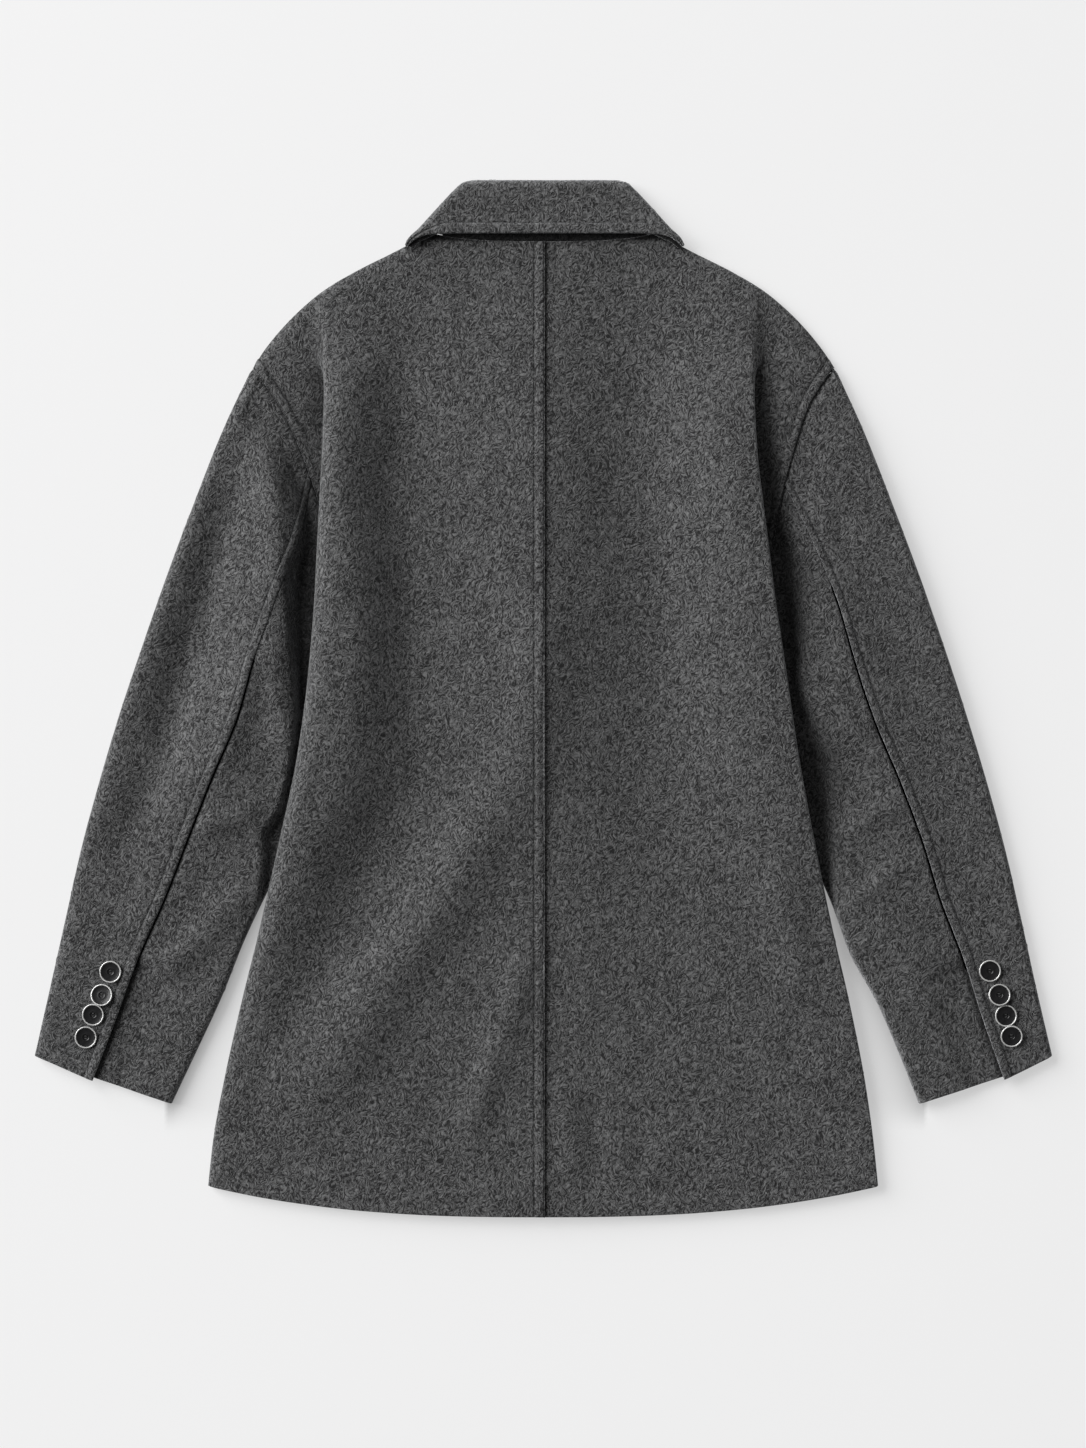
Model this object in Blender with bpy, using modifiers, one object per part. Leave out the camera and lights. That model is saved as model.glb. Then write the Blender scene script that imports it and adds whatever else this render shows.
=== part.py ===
"""A wool wrap coat laid flat on a table with its back side up.

Lengths here are millimetres, and MM turns them into Blender's metres. X runs to the right of the
laid coat, Y towards its collar and Z up. The origin is on the table, under the coat's middle.

Every piece of cloth is a loft: a grid of points on its outer side, worked out from the tables
below, and the same grid moved in by the cloth's thickness. Rows run across the coat and follow
each other from the shoulders to the hem, or from an armhole to a cuff.
"""

import math

import bmesh
import bpy
import numpy as np
from mathutils import Matrix, Vector

MM = 0.001
LEFT, RIGHT = -1, 1
SIDES = {LEFT: "left", RIGHT: "right"}

# The cloth.
WALL = 2.2
TURN_SHARE = 0.6
TURN_LEAST = 1.1
SEAM_GAP = 0.3
HALF_GAP = SEAM_GAP / 2
ARMHOLE_GAP = 0.35
TIP_GAP = 0.9
PLY = WALL + SEAM_GAP
BAND_RAISE = 0.9
BAND_WIDTH = 8.6
BAND_STEP = 1.2
STANDS_UP = 0.75

# The back.
CENTRE_X = 1.0
NECK_Y = 374.7
TIP_Y = 272.7
TIP_X = 238.5
HEM_Y = -425.2
HEM_CORNER_Y = -400.0
HEM_CURVE = 2.6
NECK_X = 93.0
SHOULDER_MID = 4.5
FRONT_SHOULDER_MID = 3.9
SHOULDER_ROUND = 9.0
CREST_SHARE = 0.93
TROUGH_SHARE = {LEFT: 0.60, RIGHT: 0.46}
CREASE_RADIUS = 0.8
CREASE_DEPTH = {LEFT: 10.0, RIGHT: 14.0}
CREASE_TAIL = 1.5
CREASE_OPENS = 26.0
FOLD_STARTS_Y = 285.0
FOLD_FULL_Y = 236.0

# The sleeves.
SLEEVE_FLAT = 5.2
SLEEVE_TOP = (TIP_Y, -293.2)
SLEEVE_SEAM = {LEFT: (178.4, -311.2), RIGHT: (175.1, -310.4)}
SLEEVE_INNER = {LEFT: (110.0, -332.5), RIGHT: (80.0, -332.5)}
FRONT_SEAM_SHARE = 0.25
VENT_FROM = 0.79
VENT_LAP = 11.0
VENT_DROP = 2.6

# The fronts.
WRAP = 75.0
WRAP_STEP = 9.0
WRAP_CLEAR = 8.0
WRAP_EARLY = 24.0
BREAK_Y = 190.0
UNDERARM_NOTCH = 5.5

# The collar.
FALL_EDGE_Y = 381.9
FALL_END_X = 112.0
FALL_END_DROP = 9.4
FALL_CURVE = 7
COLLAR_ROUND = 8.0
COLLAR_ROUND_BELOW = 5.0
COLLAR_MID = 0.42
COLLAR_BAND = 7.0
UNDER_INSET = 0.8
UNDER_COLUMNS = 8
STAND_INSET = 9.0
STAND_COLUMNS = 7

# The buttons.
BUTTON_RADIUS = 9.0
BUTTON_THICK = 2.9
BUTTON_DISH = 1.1
BUTTON_RIM = 1.7
BUTTON_FOOT = 5.4
BUTTON_STEPS = 16
ABOVE_ALL = 50.0
CUFF_TURN = math.radians(-18)


def smooth(share):
    """0 to 1 with level ends."""
    share = np.clip(share, 0.0, 1.0)
    return share * share * (3.0 - 2.0 * share)


class Table:
    """Rows of numbers under named columns. A column is read at any place along the first one."""

    def __init__(self, names, *rows):
        rows = np.array(sorted(rows), float)
        self.place = rows[:, 0]
        self.columns = dict(zip(names.split(), rows.T))

    def at(self, name, place):
        """A cubic through the column that never overshoots its rows."""
        value = self.columns[name]
        step = np.diff(self.place)
        rise = np.diff(value) / step
        both = rise[:-1] * rise[1:]
        total = np.where(both > 0, rise[:-1] + rise[1:], 1.0)
        inner = np.where(both > 0, 2.0 * both / total, 0.0)
        slope = np.concatenate([rise[:1], inner, rise[-1:]])
        place = np.clip(place, self.place[0], self.place[-1])
        i = np.clip(np.searchsorted(self.place, place) - 1, 0, len(step) - 1)
        t = (place - self.place[i]) / step[i]
        start = value[i] * (1 + 2 * t) * (1 - t) ** 2 + slope[i] * step[i] * t * (1 - t) ** 2
        end = value[i + 1] * t * t * (3 - 2 * t) - slope[i + 1] * step[i] * t * t * (1 - t)
        return start + end


# The back's upper edge: neck seam, side of the neck at NECK_X, shoulder line to the sleeve.
SHOULDER = Table(
    "x y",
    (0, 374.7),
    (40, 375.4),
    (70, 377.6),
    (86, 380.4),
    (93, 382.0),
    (105, 375.6),
    (123, 366.0),
    (152, 351.5),
    (180, 335.0),
    (200, 318.5),
    (216, 302.0),
    (229, 286.0),
    (238.5, 272.7),
)

# The body at each Y: half width to its rounded edge, height of the fold along that edge, of the
# trough beside it and of the dip outside it, and how far the edge's underside is off the table.
BODY = {
    LEFT: Table(
        "y edge crest trough dip under",
        (380, 180.0, 8.0, 8.0, 8.0, 8.0),
        (335, 180.0, 9.5, 8.0, 8.4, 8.0),
        (302, 180.0, 13.0, 8.5, 8.0, 8.0),
        (261, 179.5, 22.0, 9.5, 7.0, 8.4),
        (212, 180.8, 27.0, 11.0, 6.4, 8.0),
        (146, 184.1, 29.0, 12.0, 6.0, 7.8),
        (110, 185.9, 29.0, 12.5, 5.4, 8.8),
        (95, 186.6, 29.0, 12.5, 5.4, 8.8),
        (78, 187.6, 29.0, 12.5, 5.4, 5.8),
        (15, 193.1, 28.0, 13.0, 5.4, 5.6),
        (-50, 202.1, 26.0, 12.5, 5.4, 5.6),
        (-116, 216.1, 21.0, 12.0, 5.4, 5.6),
        (-150, 223.8, 17.5, 11.5, 5.4, 5.6),
        (-200, 235.4, 13.0, 11.0, 5.4, 0.0),
        (-247, 247.2, 11.5, 10.5, 5.4, 0.0),
        (-313, 262.0, 10.5, 10.0, 5.4, 0.0),
        (-362, 271.0, 9.5, 9.5, 5.4, 0.0),
        (-399, 275.1, 9.0, 9.5, 5.4, 0.0),
    ),
    RIGHT: Table(
        "y edge crest trough dip under",
        (380, 173.0, 8.0, 8.0, 8.0, 8.0),
        (335, 173.0, 9.5, 7.5, 8.2, 8.0),
        (302, 173.0, 13.0, 7.5, 8.0, 8.0),
        (261, 172.6, 20.0, 8.0, 7.0, 8.4),
        (212, 174.3, 25.0, 9.0, 6.4, 8.0),
        (146, 181.6, 27.0, 10.0, 6.0, 7.6),
        (110, 186.1, 27.0, 10.5, 5.6, 7.8),
        (80, 189.8, 27.0, 10.5, 5.4, 8.8),
        (64, 192.3, 27.0, 10.5, 5.4, 8.8),
        (48, 194.8, 26.5, 10.5, 5.4, 5.8),
        (15, 199.7, 26.0, 11.0, 5.4, 5.6),
        (-50, 209.5, 24.0, 11.0, 5.4, 5.6),
        (-116, 221.8, 20.0, 10.5, 5.4, 5.6),
        (-145, 227.6, 17.5, 10.5, 5.4, 5.6),
        (-195, 238.4, 13.0, 10.0, 5.4, 0.0),
        (-247, 250.5, 11.5, 10.0, 5.4, 0.0),
        (-313, 263.6, 10.5, 10.0, 5.4, 0.0),
        (-362, 270.6, 9.5, 9.5, 5.4, 0.0),
        (-399, 274.5, 9.0, 9.0, 5.4, 0.0),
    ),
}

# The back's height along the middle.
MIDDLE = Table(
    "y height",
    (375, 8.0),
    (335, 9.0),
    (261, 11.5),
    (146, 14.0),
    (15, 14.5),
    (-116, 14.0),
    (-399, 10.5),
)

# The armhole seam on the upper side, from the shoulder tip to the underarm below the body's fold.
ARMHOLE = {
    LEFT: Table(
        "y x height",
        (272.7, 238.5, 4.5),
        (268.0, 235.2, 7.6),
        (258.0, 228.9, 9.6),
        (237.4, 215.1, 10.4),
        (204.6, 200.0, 10.0),
        (177.5, 190.0, 9.0),
        (160.3, 184.3, 7.0),
        (135.0, 177.0, 6.0),
        (110.0, 170.0, 5.4),
    ),
    RIGHT: Table(
        "y x height",
        (272.7, 238.5, 4.5),
        (266.0, 234.8, 7.6),
        (253.0, 225.4, 9.6),
        (236.6, 216.4, 10.4),
        (202.1, 205.1, 10.0),
        (173.4, 197.5, 9.0),
        (147.2, 192.5, 7.4),
        (121.8, 187.5, 6.2),
        (100.0, 182.0, 5.6),
        (80.0, 176.0, 5.4),
    ),
}

# The sleeves, from armhole (0) to cuff (1): half widths of the outer edge, back seam and inner
# edge from the coat's middle, and heights near the outer edge, between, at the seam and inside.
SLEEVE = {
    LEFT: Table(
        "v outer seam inner roll hollow ridge slope",
        (0.0, 238.5, 191.9, 170.0, 8.0, 10.0, 9.5, 6.0),
        (0.1, 264.7, 202.1, 169.0, 12.0, 16.0, 15.0, 12.0),
        (0.2, 286.9, 219.5, 170.0, 13.0, 15.0, 19.0, 15.0),
        (0.3, 308.1, 236.4, 175.0, 13.5, 13.0, 20.0, 16.0),
        (0.4, 327.9, 250.5, 186.0, 13.0, 12.5, 19.0, 15.0),
        (0.5, 346.9, 271.5, 203.5, 12.5, 12.0, 17.5, 14.0),
        (0.6, 363.9, 290.9, 225.0, 12.0, 11.5, 15.5, 12.5),
        (0.7, 379.2, 309.9, 245.8, 11.0, 11.0, 13.5, 11.5),
        (0.8, 391.9, 331.5, 263.5, 10.5, 10.5, 12.0, 11.0),
        (0.9, 404.6, 349.2, 284.0, 10.0, 10.0, 11.0, 10.0),
        (1.0, 417.4, 367.8, 305.0, 9.5, 9.5, 10.5, 9.5),
    ),
    RIGHT: Table(
        "v outer seam inner roll hollow ridge slope",
        (0.0, 238.5, 198.8, 176.0, 8.0, 10.0, 9.5, 6.0),
        (0.1, 264.0, 221.9, 174.5, 12.0, 14.0, 14.0, 11.0),
        (0.2, 286.2, 241.0, 176.0, 13.0, 14.5, 16.5, 14.0),
        (0.3, 307.5, 254.8, 184.0, 13.5, 14.0, 17.5, 15.0),
        (0.4, 327.3, 271.0, 199.0, 13.0, 13.5, 17.0, 14.0),
        (0.5, 345.9, 291.5, 217.5, 12.5, 12.5, 15.5, 13.0),
        (0.6, 363.1, 309.8, 236.0, 12.0, 12.0, 14.0, 12.0),
        (0.7, 378.6, 324.9, 251.0, 11.0, 11.0, 13.0, 11.5),
        (0.8, 391.7, 343.4, 273.5, 10.5, 10.5, 12.0, 11.0),
        (0.9, 404.1, 358.8, 291.5, 10.0, 10.0, 11.0, 10.0),
        (1.0, 417.3, 376.0, 307.9, 9.5, 9.5, 10.5, 9.5),
    ),
}

# The collar from its middle (0) to its end (1): half widths of the fall's free edge and of the
# roll, Y of the roll, height of the top and of the lower side at the roll and at its far end, and
# how far it tucks in below.
COLLAR = Table(
    "t edge_x roll_x roll_y top base base_end tuck",
    (0.00, 0.0, 0.0, 425.2, 13.0, 0.0, 3.0, 60.0),
    (0.16, 20.0, 22.0, 425.3, 13.0, 0.0, 3.0, 60.0),
    (0.32, 40.0, 42.0, 425.3, 13.0, 0.0, 3.0, 60.0),
    (0.47, 56.0, 58.0, 425.2, 13.0, 0.0, 3.0, 60.0),
    (0.53, 65.0, 66.5, 423.4, 13.0, 0.0, 3.0, 60.0),
    (0.60, 74.0, 74.0, 417.4, 13.0, 0.0, 3.0, 60.0),
    (0.70, 84.0, 83.5, 407.5, 13.1, 0.8, 3.0, 27.0),
    (0.80, 94.0, 94.0, 396.3, 13.4, 3.0, 3.2, 12.0),
    (0.90, 103.0, 104.2, 385.3, 13.9, 6.5, 7.0, 7.0),
    (0.97, 109.0, 111.9, 377.5, 14.3, 9.0, 9.0, 5.0),
    (1.00, 112.0, 115.5, 371.5, 14.6, 9.4, 9.4, 3.5),
)

# The buttons of each sleeve, from the top of the vent down: middle, and the turn in degrees that
# lifts an edge over the next button's rim.
BUTTONS = {
    LEFT: Table(
        "y x tilt",
        (-223.9, -354.5, 0.0),
        (-243.2, -361.5, -10.0),
        (-259.0, -368.8, 0.0),
        (-277.5, -374.8, 3.0),
    ),
    RIGHT: Table(
        "y x tilt",
        (-223.0, 365.6, 0.0),
        (-243.0, 373.3, -10.0),
        (-259.9, 378.7, 0.0),
        (-276.3, 383.3, 10.0),
    ),
}

# Soft folds: a ridge, or with a negative height a trough, along a line.
FOLD_COLUMNS = "from_x from_y to_x to_y width height"
BODY_FOLDS = (
    (-28, -60, -214, -330, 22, 7.0),
    (-62, 8, -226, -312, 16, -2.5),
    (-18, -160, -70, -360, 15, 3.5),
    (186, -130, 214, -260, 15, 2.5),
)
SLEEVE_FOLDS = (
    (-243, 205, -284, -50, 14, 2.5),
    (-292, 48, -330, -110, 12, -1.5),
    (-246, -2, -206, -60, 9, 2.5),
    (-288, -108, -226, -90, 10, 2.5),
    (232, 8, 270, -32, 10, 2.0),
    (244, -108, 300, -84, 10, 2.0),
)

# Where the points of each stretch lie: shares of the stretch, or angles of a rounded edge.
BACK_ROWS = np.array(
    (0, 0.0014, 0.005, 0.011, 0.02, 0.045, 0.075, 0.11, 0.15, 0.19, 0.225, 0.255, 0.285, 0.32, 0.37)
    + (0.43, 0.49, 0.55, 0.61, 0.66, 0.71, 0.77, 0.83, 0.89, 0.95, 1)
)
BACK_SPREAD = (0.19, 0.372, 0.471, 0.514, 0.62, 0.72, 0.81, 0.9, 1.0)
ROUND_OVER = np.radians((65.0, 38.0, 15.0))
ROUND_UNDER = np.radians((-20.0, -48.0, -90.0))
CREASE_SPREAD = (0.35, 0.7, 1.0)
SLEEVE_ROWS = np.array(
    (0, 0.02, 0.05, 0.09, 0.14, 0.2, 0.26, 0.32, 0.38, 0.44, 0.5, 0.56, 0.62, 0.68, 0.735, 0.785)
    + (0.815, 0.85, 0.9, 0.95, 1)
)
COLLAR_COLUMNS = np.array((0, 0.16, 0.32, 0.47, 0.53, 0.6, 0.7, 0.8, 0.9, 0.97, 1.0))


def folds_at(folds, x, y):
    """Sum of the soft folds at a place."""
    height = 0.0
    for row in folds:
        fold = dict(zip(FOLD_COLUMNS.split(), row))
        run = np.array((fold["to_x"] - fold["from_x"], fold["to_y"] - fold["from_y"]), float)
        length = np.hypot(*run)
        run /= length
        beside_x, beside_y = x - fold["from_x"], y - fold["from_y"]
        on_line = (beside_x * run[0] + beside_y * run[1]) / length
        off_line = beside_x * run[1] - beside_y * run[0]
        ends = smooth((on_line + 0.08) / 0.35) * smooth((1.08 - on_line) / 0.35)
        height = height + fold["height"] * ends * np.exp(-((off_line / fold["width"]) ** 2))
    return height


def grid(x, y, z):
    """Points in rows and columns."""
    x, y, z = np.broadcast_arrays(x, y, z)
    return np.stack((x, y, z), axis=-1).astype(float)


def normals(points, sign):
    """Unit normals of a grid, turned the way that sign gives."""
    down = np.gradient(points, axis=0)
    across = np.gradient(points, axis=1)
    normal = np.cross(across, down) * sign
    return normal / np.linalg.norm(normal, axis=2, keepdims=True)


def edge_of(array, edge):
    """One edge of a grid and the line next to it, as views."""
    lines = np.moveaxis(array, 0 if edge in ("first row", "last row") else 1, 0)
    last, before = (0, 1) if edge in ("first row", "first column") else (-1, -2)
    return lines[last], lines[before]


def pull_back(points, edge, gap):
    """Moves one edge of a grid in along the cloth, to leave a seam's gap."""
    line, beside = edge_of(points, edge)
    step = beside - line
    near_tip = smooth((np.abs(line[:, :1]) - TIP_X) / 5 + 1.2)
    line += step / np.linalg.norm(step, axis=1, keepdims=True) * (gap + (TIP_GAP - gap) * near_tip)


def stand_up(normal, points, edge):
    """Turns the normals along a seam upright, so that the cut edges of both pieces are parallel."""
    line, _ = edge_of(points, edge)
    along = np.gradient(line, axis=0)
    along /= np.linalg.norm(along, axis=1, keepdims=True)
    across, _ = edge_of(normal, edge)
    upright = np.array((0, 0, 1.0)) - along[:, 2:] * along
    upright *= np.sign(across[:, 2:]) / np.linalg.norm(upright, axis=1, keepdims=True)
    level = np.abs(across[:, 2:]) > STANDS_UP
    across[:] = np.where(level, upright, across)


def band(distance):
    """How far cloth over a pressed seam stands out, by the distance from the seam."""
    return BAND_RAISE * smooth((BAND_WIDTH + BAND_STEP - distance) / BAND_STEP)


# ---------------------------------------------------------------------------------- the body


def row_y(side, v, x):
    """Y of the back's row v at a distance x from the middle."""
    edge_y = TIP_Y - v * (TIP_Y - HEM_CORNER_Y)
    centre_y = NECK_Y - v * (NECK_Y - HEM_Y)
    reach = np.maximum(BODY[side].at("edge", edge_y), ARMHOLE[side].at("x", edge_y))
    reach = np.where(edge_y > ARMHOLE[side].place[0], reach, BODY[side].at("edge", edge_y))
    share = x / reach
    upper = (NECK_Y - SHOULDER.at("y", share * TIP_X)) / (NECK_Y - TIP_Y)
    lower = np.clip(share, 0, None) ** HEM_CURVE
    return centre_y + (edge_y - centre_y) * ((1 - v) * upper + v * lower)


def follow(side, v, x_at):
    """The place (x, y) where row v meets a line that gives x at each y."""
    y = TIP_Y - v * (TIP_Y - HEM_CORNER_Y)
    for _ in range(8):
        x = x_at(y)
        y = row_y(side, v, np.abs(x))
    return x, y


def back_height(side, x, y):
    """Height of the back's upper side, from the middle to the fold along its edge."""
    body = BODY[side]
    share = x / body.at("edge", y)
    middle = MIDDLE.at("height", y)
    trough = body.at("trough", y)
    crest = body.at("crest", y)
    dip_share = TROUGH_SHARE[side]
    inner = middle + (trough - middle) * smooth(share / dip_share)
    outer = trough + (crest - trough) * smooth((share - dip_share) / (CREST_SHARE - dip_share))
    return np.where(share < dip_share, inner, outer) + folds_at(BODY_FOLDS, side * x, y)


def shoulder_round(x, y, height, mid=SHOULDER_MID, reach=SHOULDER_ROUND):
    """Rounds a height down to the shoulder line."""
    below = np.clip((SHOULDER.at("y", x) - y) * 0.8, 0, None)
    rounded = mid + (height - mid) * np.sqrt(1 - (1 - np.clip(below / reach, 0, 1)) ** 2)
    return height + (rounded - height) * smooth((x - NECK_X) / 10)


def on_shoulder(points):
    """1 along the first row where it is the shoulder seam, 0 where it is the neck seam."""
    return smooth((np.abs(points[0, :, 0]) - NECK_X) / 10)


def edge_sizes(side, y):
    """Half width, upper and lower radius across, middle height and underside of the body's edge."""
    body = BODY[side]
    crest = body.at("crest", y)
    under = body.at("under", y)
    return body.at("edge", y), 6 + 0.3 * crest, 3.5 + 0.15 * crest, (crest + under) / 2, under


def back_grid(side):
    """Outer points of one half of the back, and the width of its raised seams at each point."""
    v = BACK_ROWS[:, None]
    _, edge_y = follow(side, v, lambda y: BODY[side].at("edge", y))
    edge, over, low, mid, under = edge_sizes(side, edge_y)
    armhole = ARMHOLE[side]
    underarm_y = armhole.place[0]
    end_x, end_y = follow(side, v, lambda y: armhole.at("x", y))
    crease_x = edge - low - CREASE_DEPTH[side]

    # Down the fold: the way that a sharp fold takes, and the way of a soft ridge with a dip.
    start = BAND_WIDTH + BAND_STEP
    flat = np.hstack((np.broadcast_to((0, BAND_WIDTH, start), (len(v), 3)),
                      start + np.array(BACK_SPREAD) * (edge - over - start)))
    turn = math.pi * smooth((end_y - underarm_y + CREASE_OPENS) / CREASE_OPENS)
    turn = np.maximum(turn, 1e-3)
    arc = math.pi * CREASE_RADIUS
    bend = turn * np.array(CREASE_SPREAD)
    tail = np.where(end_y > underarm_y, np.maximum(end_x - crease_x, CREASE_TAIL), CREASE_TAIL)
    kept = np.clip(tail - BAND_WIDTH - BAND_STEP, 0.3 * tail, None)
    strip = np.hstack((0.5 * kept, kept, np.minimum(kept + BAND_STEP, 0.9 * tail), tail))
    bent_x = crease_x - arc / turn * np.sin(bend)
    bent_z = under - arc / turn * (1 - np.cos(bend))
    hard_x = np.hstack((
        flat,
        edge - over + over * np.cos(ROUND_OVER),
        edge,
        edge - low + low * np.cos(ROUND_UNDER),
        crease_x,
        bent_x,
        bent_x[:, -1:] - strip * np.cos(turn),
    ))
    columns = len(BACK_SPREAD) + 3
    hard_z = np.hstack((
        back_height(side, flat, row_y(side, v, flat)),
        np.zeros((len(v), 3)),
        mid,
        mid + (mid - under) * np.sin(ROUND_UNDER),
        under,
        bent_z,
        bent_z[:, -1:] - strip * np.sin(turn),
    ))
    rounds = slice(columns, columns + 3)
    top = back_height(side, hard_x[:, rounds], row_y(side, v, hard_x[:, rounds]))
    hard_z[:, rounds] = mid + (top - mid) * np.sin(ROUND_OVER)

    shares = np.array((0.25, 0.5, 0.75, 1.0, 1.3, 1.6, 1.9, 2.2, 2.4, 2.6, 2.8))
    ridge_x = edge - over + over * np.minimum(shares, 1.0) + 4.5 * np.maximum(shares - 1.0, 0)
    soft_end = np.maximum(end_x, ridge_x[:, -1:] + CREASE_TAIL)
    soft_x = np.hstack((flat, ridge_x, ridge_x[:, -1:] + (soft_end - ridge_x[:, -1:]) * strip / tail))
    soft_y = row_y(side, v, soft_x)
    down = smooth((soft_x - edge + 4) / 15)
    soft_z = back_height(side, np.minimum(soft_x, edge - 3), soft_y)
    soft_z = soft_z + (BODY[side].at("dip", soft_y) - soft_z) * down

    hard = smooth((FOLD_STARTS_Y - edge_y) / (FOLD_STARTS_Y - FOLD_FULL_Y))
    x = soft_x + (hard_x - soft_x) * hard
    y = row_y(side, v, x)
    z = soft_z + (hard_z - soft_z) * hard

    # Above the underarm the strip outside the fold rises to meet the sleeve at the armhole seam.
    on_armhole = (end_y > underarm_y).astype(float)
    out = np.hstack((np.zeros((len(v), columns + 11)), strip / tail))
    target = grid(end_x, end_y, armhole.at("height", end_y))
    points = grid(x, y, z)
    points += (target - points[:, -1:]) * (smooth(out) * on_armhole)[..., None]
    points[..., 2] = shoulder_round(points[..., 0], points[..., 1], points[..., 2])
    points[:, -1] += (target[:, 0] - points[:, -1]) * on_armhole

    raised = np.zeros(x.shape)
    if side == LEFT:
        raised += band(flat[:, :1] + points[..., 0]) * (np.arange(x.shape[1]) < columns)
    to_armhole = (tail - strip)
    raised[:, -4:] += band(to_armhole) * on_armhole
    points[..., 0] = side * points[..., 0]
    points[:, 0, 0] = CENTRE_X
    return points, raised


def front_edge(side, y):
    """Distance of a front's free edge from the middle: across it, then up to the side of the neck."""
    neck = smooth((y - BREAK_Y) / (NECK_Y - BREAK_Y))
    wrapped = 2 * side * CENTRE_X - WRAP
    return wrapped + (NECK_X + 4 - wrapped) * neck


def front_grid(side):
    """Outer points of one front, which faces the table, from its side seam to its wrapped edge."""
    v = BACK_ROWS[:, None]
    armhole = ARMHOLE[side]
    underarm_y = armhole.place[0]
    arm_x, arm_y = follow(side, v, lambda y: armhole.at("x", y))
    _, edge_y = follow(side, v, lambda y: BODY[side].at("edge", y))
    seam_x = side_seam(side, edge_y)
    below = smooth((underarm_y - arm_y) / CREASE_OPENS)
    outer = np.where(arm_y > underarm_y, arm_x, arm_x + (seam_x - arm_x) * below)
    near = smooth((arm_y - underarm_y + 34) / 8) * smooth((underarm_y + 9 - arm_y) / 8)
    outer = outer - UNDERARM_NOTCH * near
    inner, _ = follow(side, v, lambda y: front_edge(side, y))
    step, _ = follow(side, v, lambda y: -front_edge(-side, y - WRAP_EARLY))
    step = np.clip(step, inner + 1, outer - 0.35 * (outer - inner))
    ramp_from = step + WRAP_CLEAR + WRAP_STEP
    from_seam = np.array((0, 0.07, 0.15, 0.25, 0.5, 0.8, 1))
    to_edge = np.array((0, 0.3, 0.7, 1))
    x = np.hstack((
        outer + (ramp_from - outer) * from_seam,
        ramp_from - WRAP_STEP / 2,
        ramp_from - WRAP_STEP + (inner - ramp_from + WRAP_STEP) * to_edge,
    ))
    y = row_y(side, v, np.abs(x))
    points = grid(x * side, y, front_height(side, x, y))
    return points


def side_seam(side, y):
    """Distance of the side seam from the middle, under the body's edge."""
    edge, _, low, _, _ = edge_sizes(side, y)
    return edge - low - CREASE_DEPTH[side] - math.pi * CREASE_RADIUS - CREASE_TAIL


def sleeve_inner(side, y):
    """Distance of the sleeve's inner edge from the middle at Y."""
    top, bottom = SLEEVE_INNER[side]
    return SLEEVE[side].at("inner", (y - top) / (bottom - top))


def front_height(side, x, y):
    """Height of the front's lower side: on the table, and over the sleeve's inner edge."""
    underarm_y = ARMHOLE[side].place[0]
    start = np.minimum(sleeve_inner(side, y) - 2, side_seam(side, y))
    over_sleeve = smooth((x - start + 18) / 18) * smooth((underarm_y + 4 - y) / CREASE_OPENS)
    height = BODY[side].at("under", y) * over_sleeve
    below = np.clip((SHOULDER.at("y", np.abs(x)) - y) * 0.8, 0, None)
    lift = 1 - np.sqrt(1 - (1 - np.clip(below / 4.0, 0, 1)) ** 2)
    lift = lift * smooth((TIP_X + 1 - x) / 16)
    height = height + FRONT_SHOULDER_MID * lift * smooth((x - NECK_X) / 10)
    if side == LEFT:
        other_edge = -front_edge(RIGHT, y - WRAP_EARLY)
        height = height + PLY * smooth((other_edge + WRAP_CLEAR + WRAP_STEP - x) / WRAP_STEP)
    return height


# -------------------------------------------------------------------------------- the sleeves


def sleeve_lines(side, v):
    """The outer edge, back seam and inner edge at v, as points on the table."""
    sleeve = SLEEVE[side]
    lines = []
    for name, (top, bottom) in (
        ("outer", SLEEVE_TOP),
        ("seam", SLEEVE_SEAM[side]),
        ("inner", SLEEVE_INNER[side]),
    ):
        lines.append(np.stack((sleeve.at(name, v), top + (bottom - top) * v), axis=-1))
    return lines


def armhole_bow(side, y):
    """How far the armhole seam lies outside the straight line between two of its corners."""
    armhole = ARMHOLE[side]
    corners_y = (TIP_Y, SLEEVE_SEAM[side][0], SLEEVE_INNER[side][0])
    corners_x = [float(SLEEVE[side].at(name, 0.0)) for name in ("outer", "seam", "inner")]
    straight = np.interp(y, corners_y[::-1], corners_x[::-1])
    return armhole.at("x", y) - straight


def sleeve_height(side, v, x, y, share):
    """Height of the sleeve's upper side. share runs 0 to 1 to the seam and 1 to 2 inside it."""
    sleeve = SLEEVE[side]
    roll, hollow = sleeve.at("roll", v), sleeve.at("hollow", v)
    ridge, slope = sleeve.at("ridge", v), sleeve.at("slope", v)
    outer = np.where(
        share < 0.5,
        roll + (hollow - roll) * smooth(share * 2),
        hollow + (ridge - hollow) * smooth(share * 2 - 1),
    )
    inner = ridge + (slope - ridge) * smooth((share - 1) / 0.6)
    height = np.where(share < 1, outer, inner) + folds_at(SLEEVE_FOLDS, side * x, y)
    free = smooth((x - BODY[side].at("edge", y) - 3) / 20)
    free = np.maximum(free, smooth((-148 - y) / 45))
    return SLEEVE_FLAT + (height - SLEEVE_FLAT) * free, free


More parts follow.
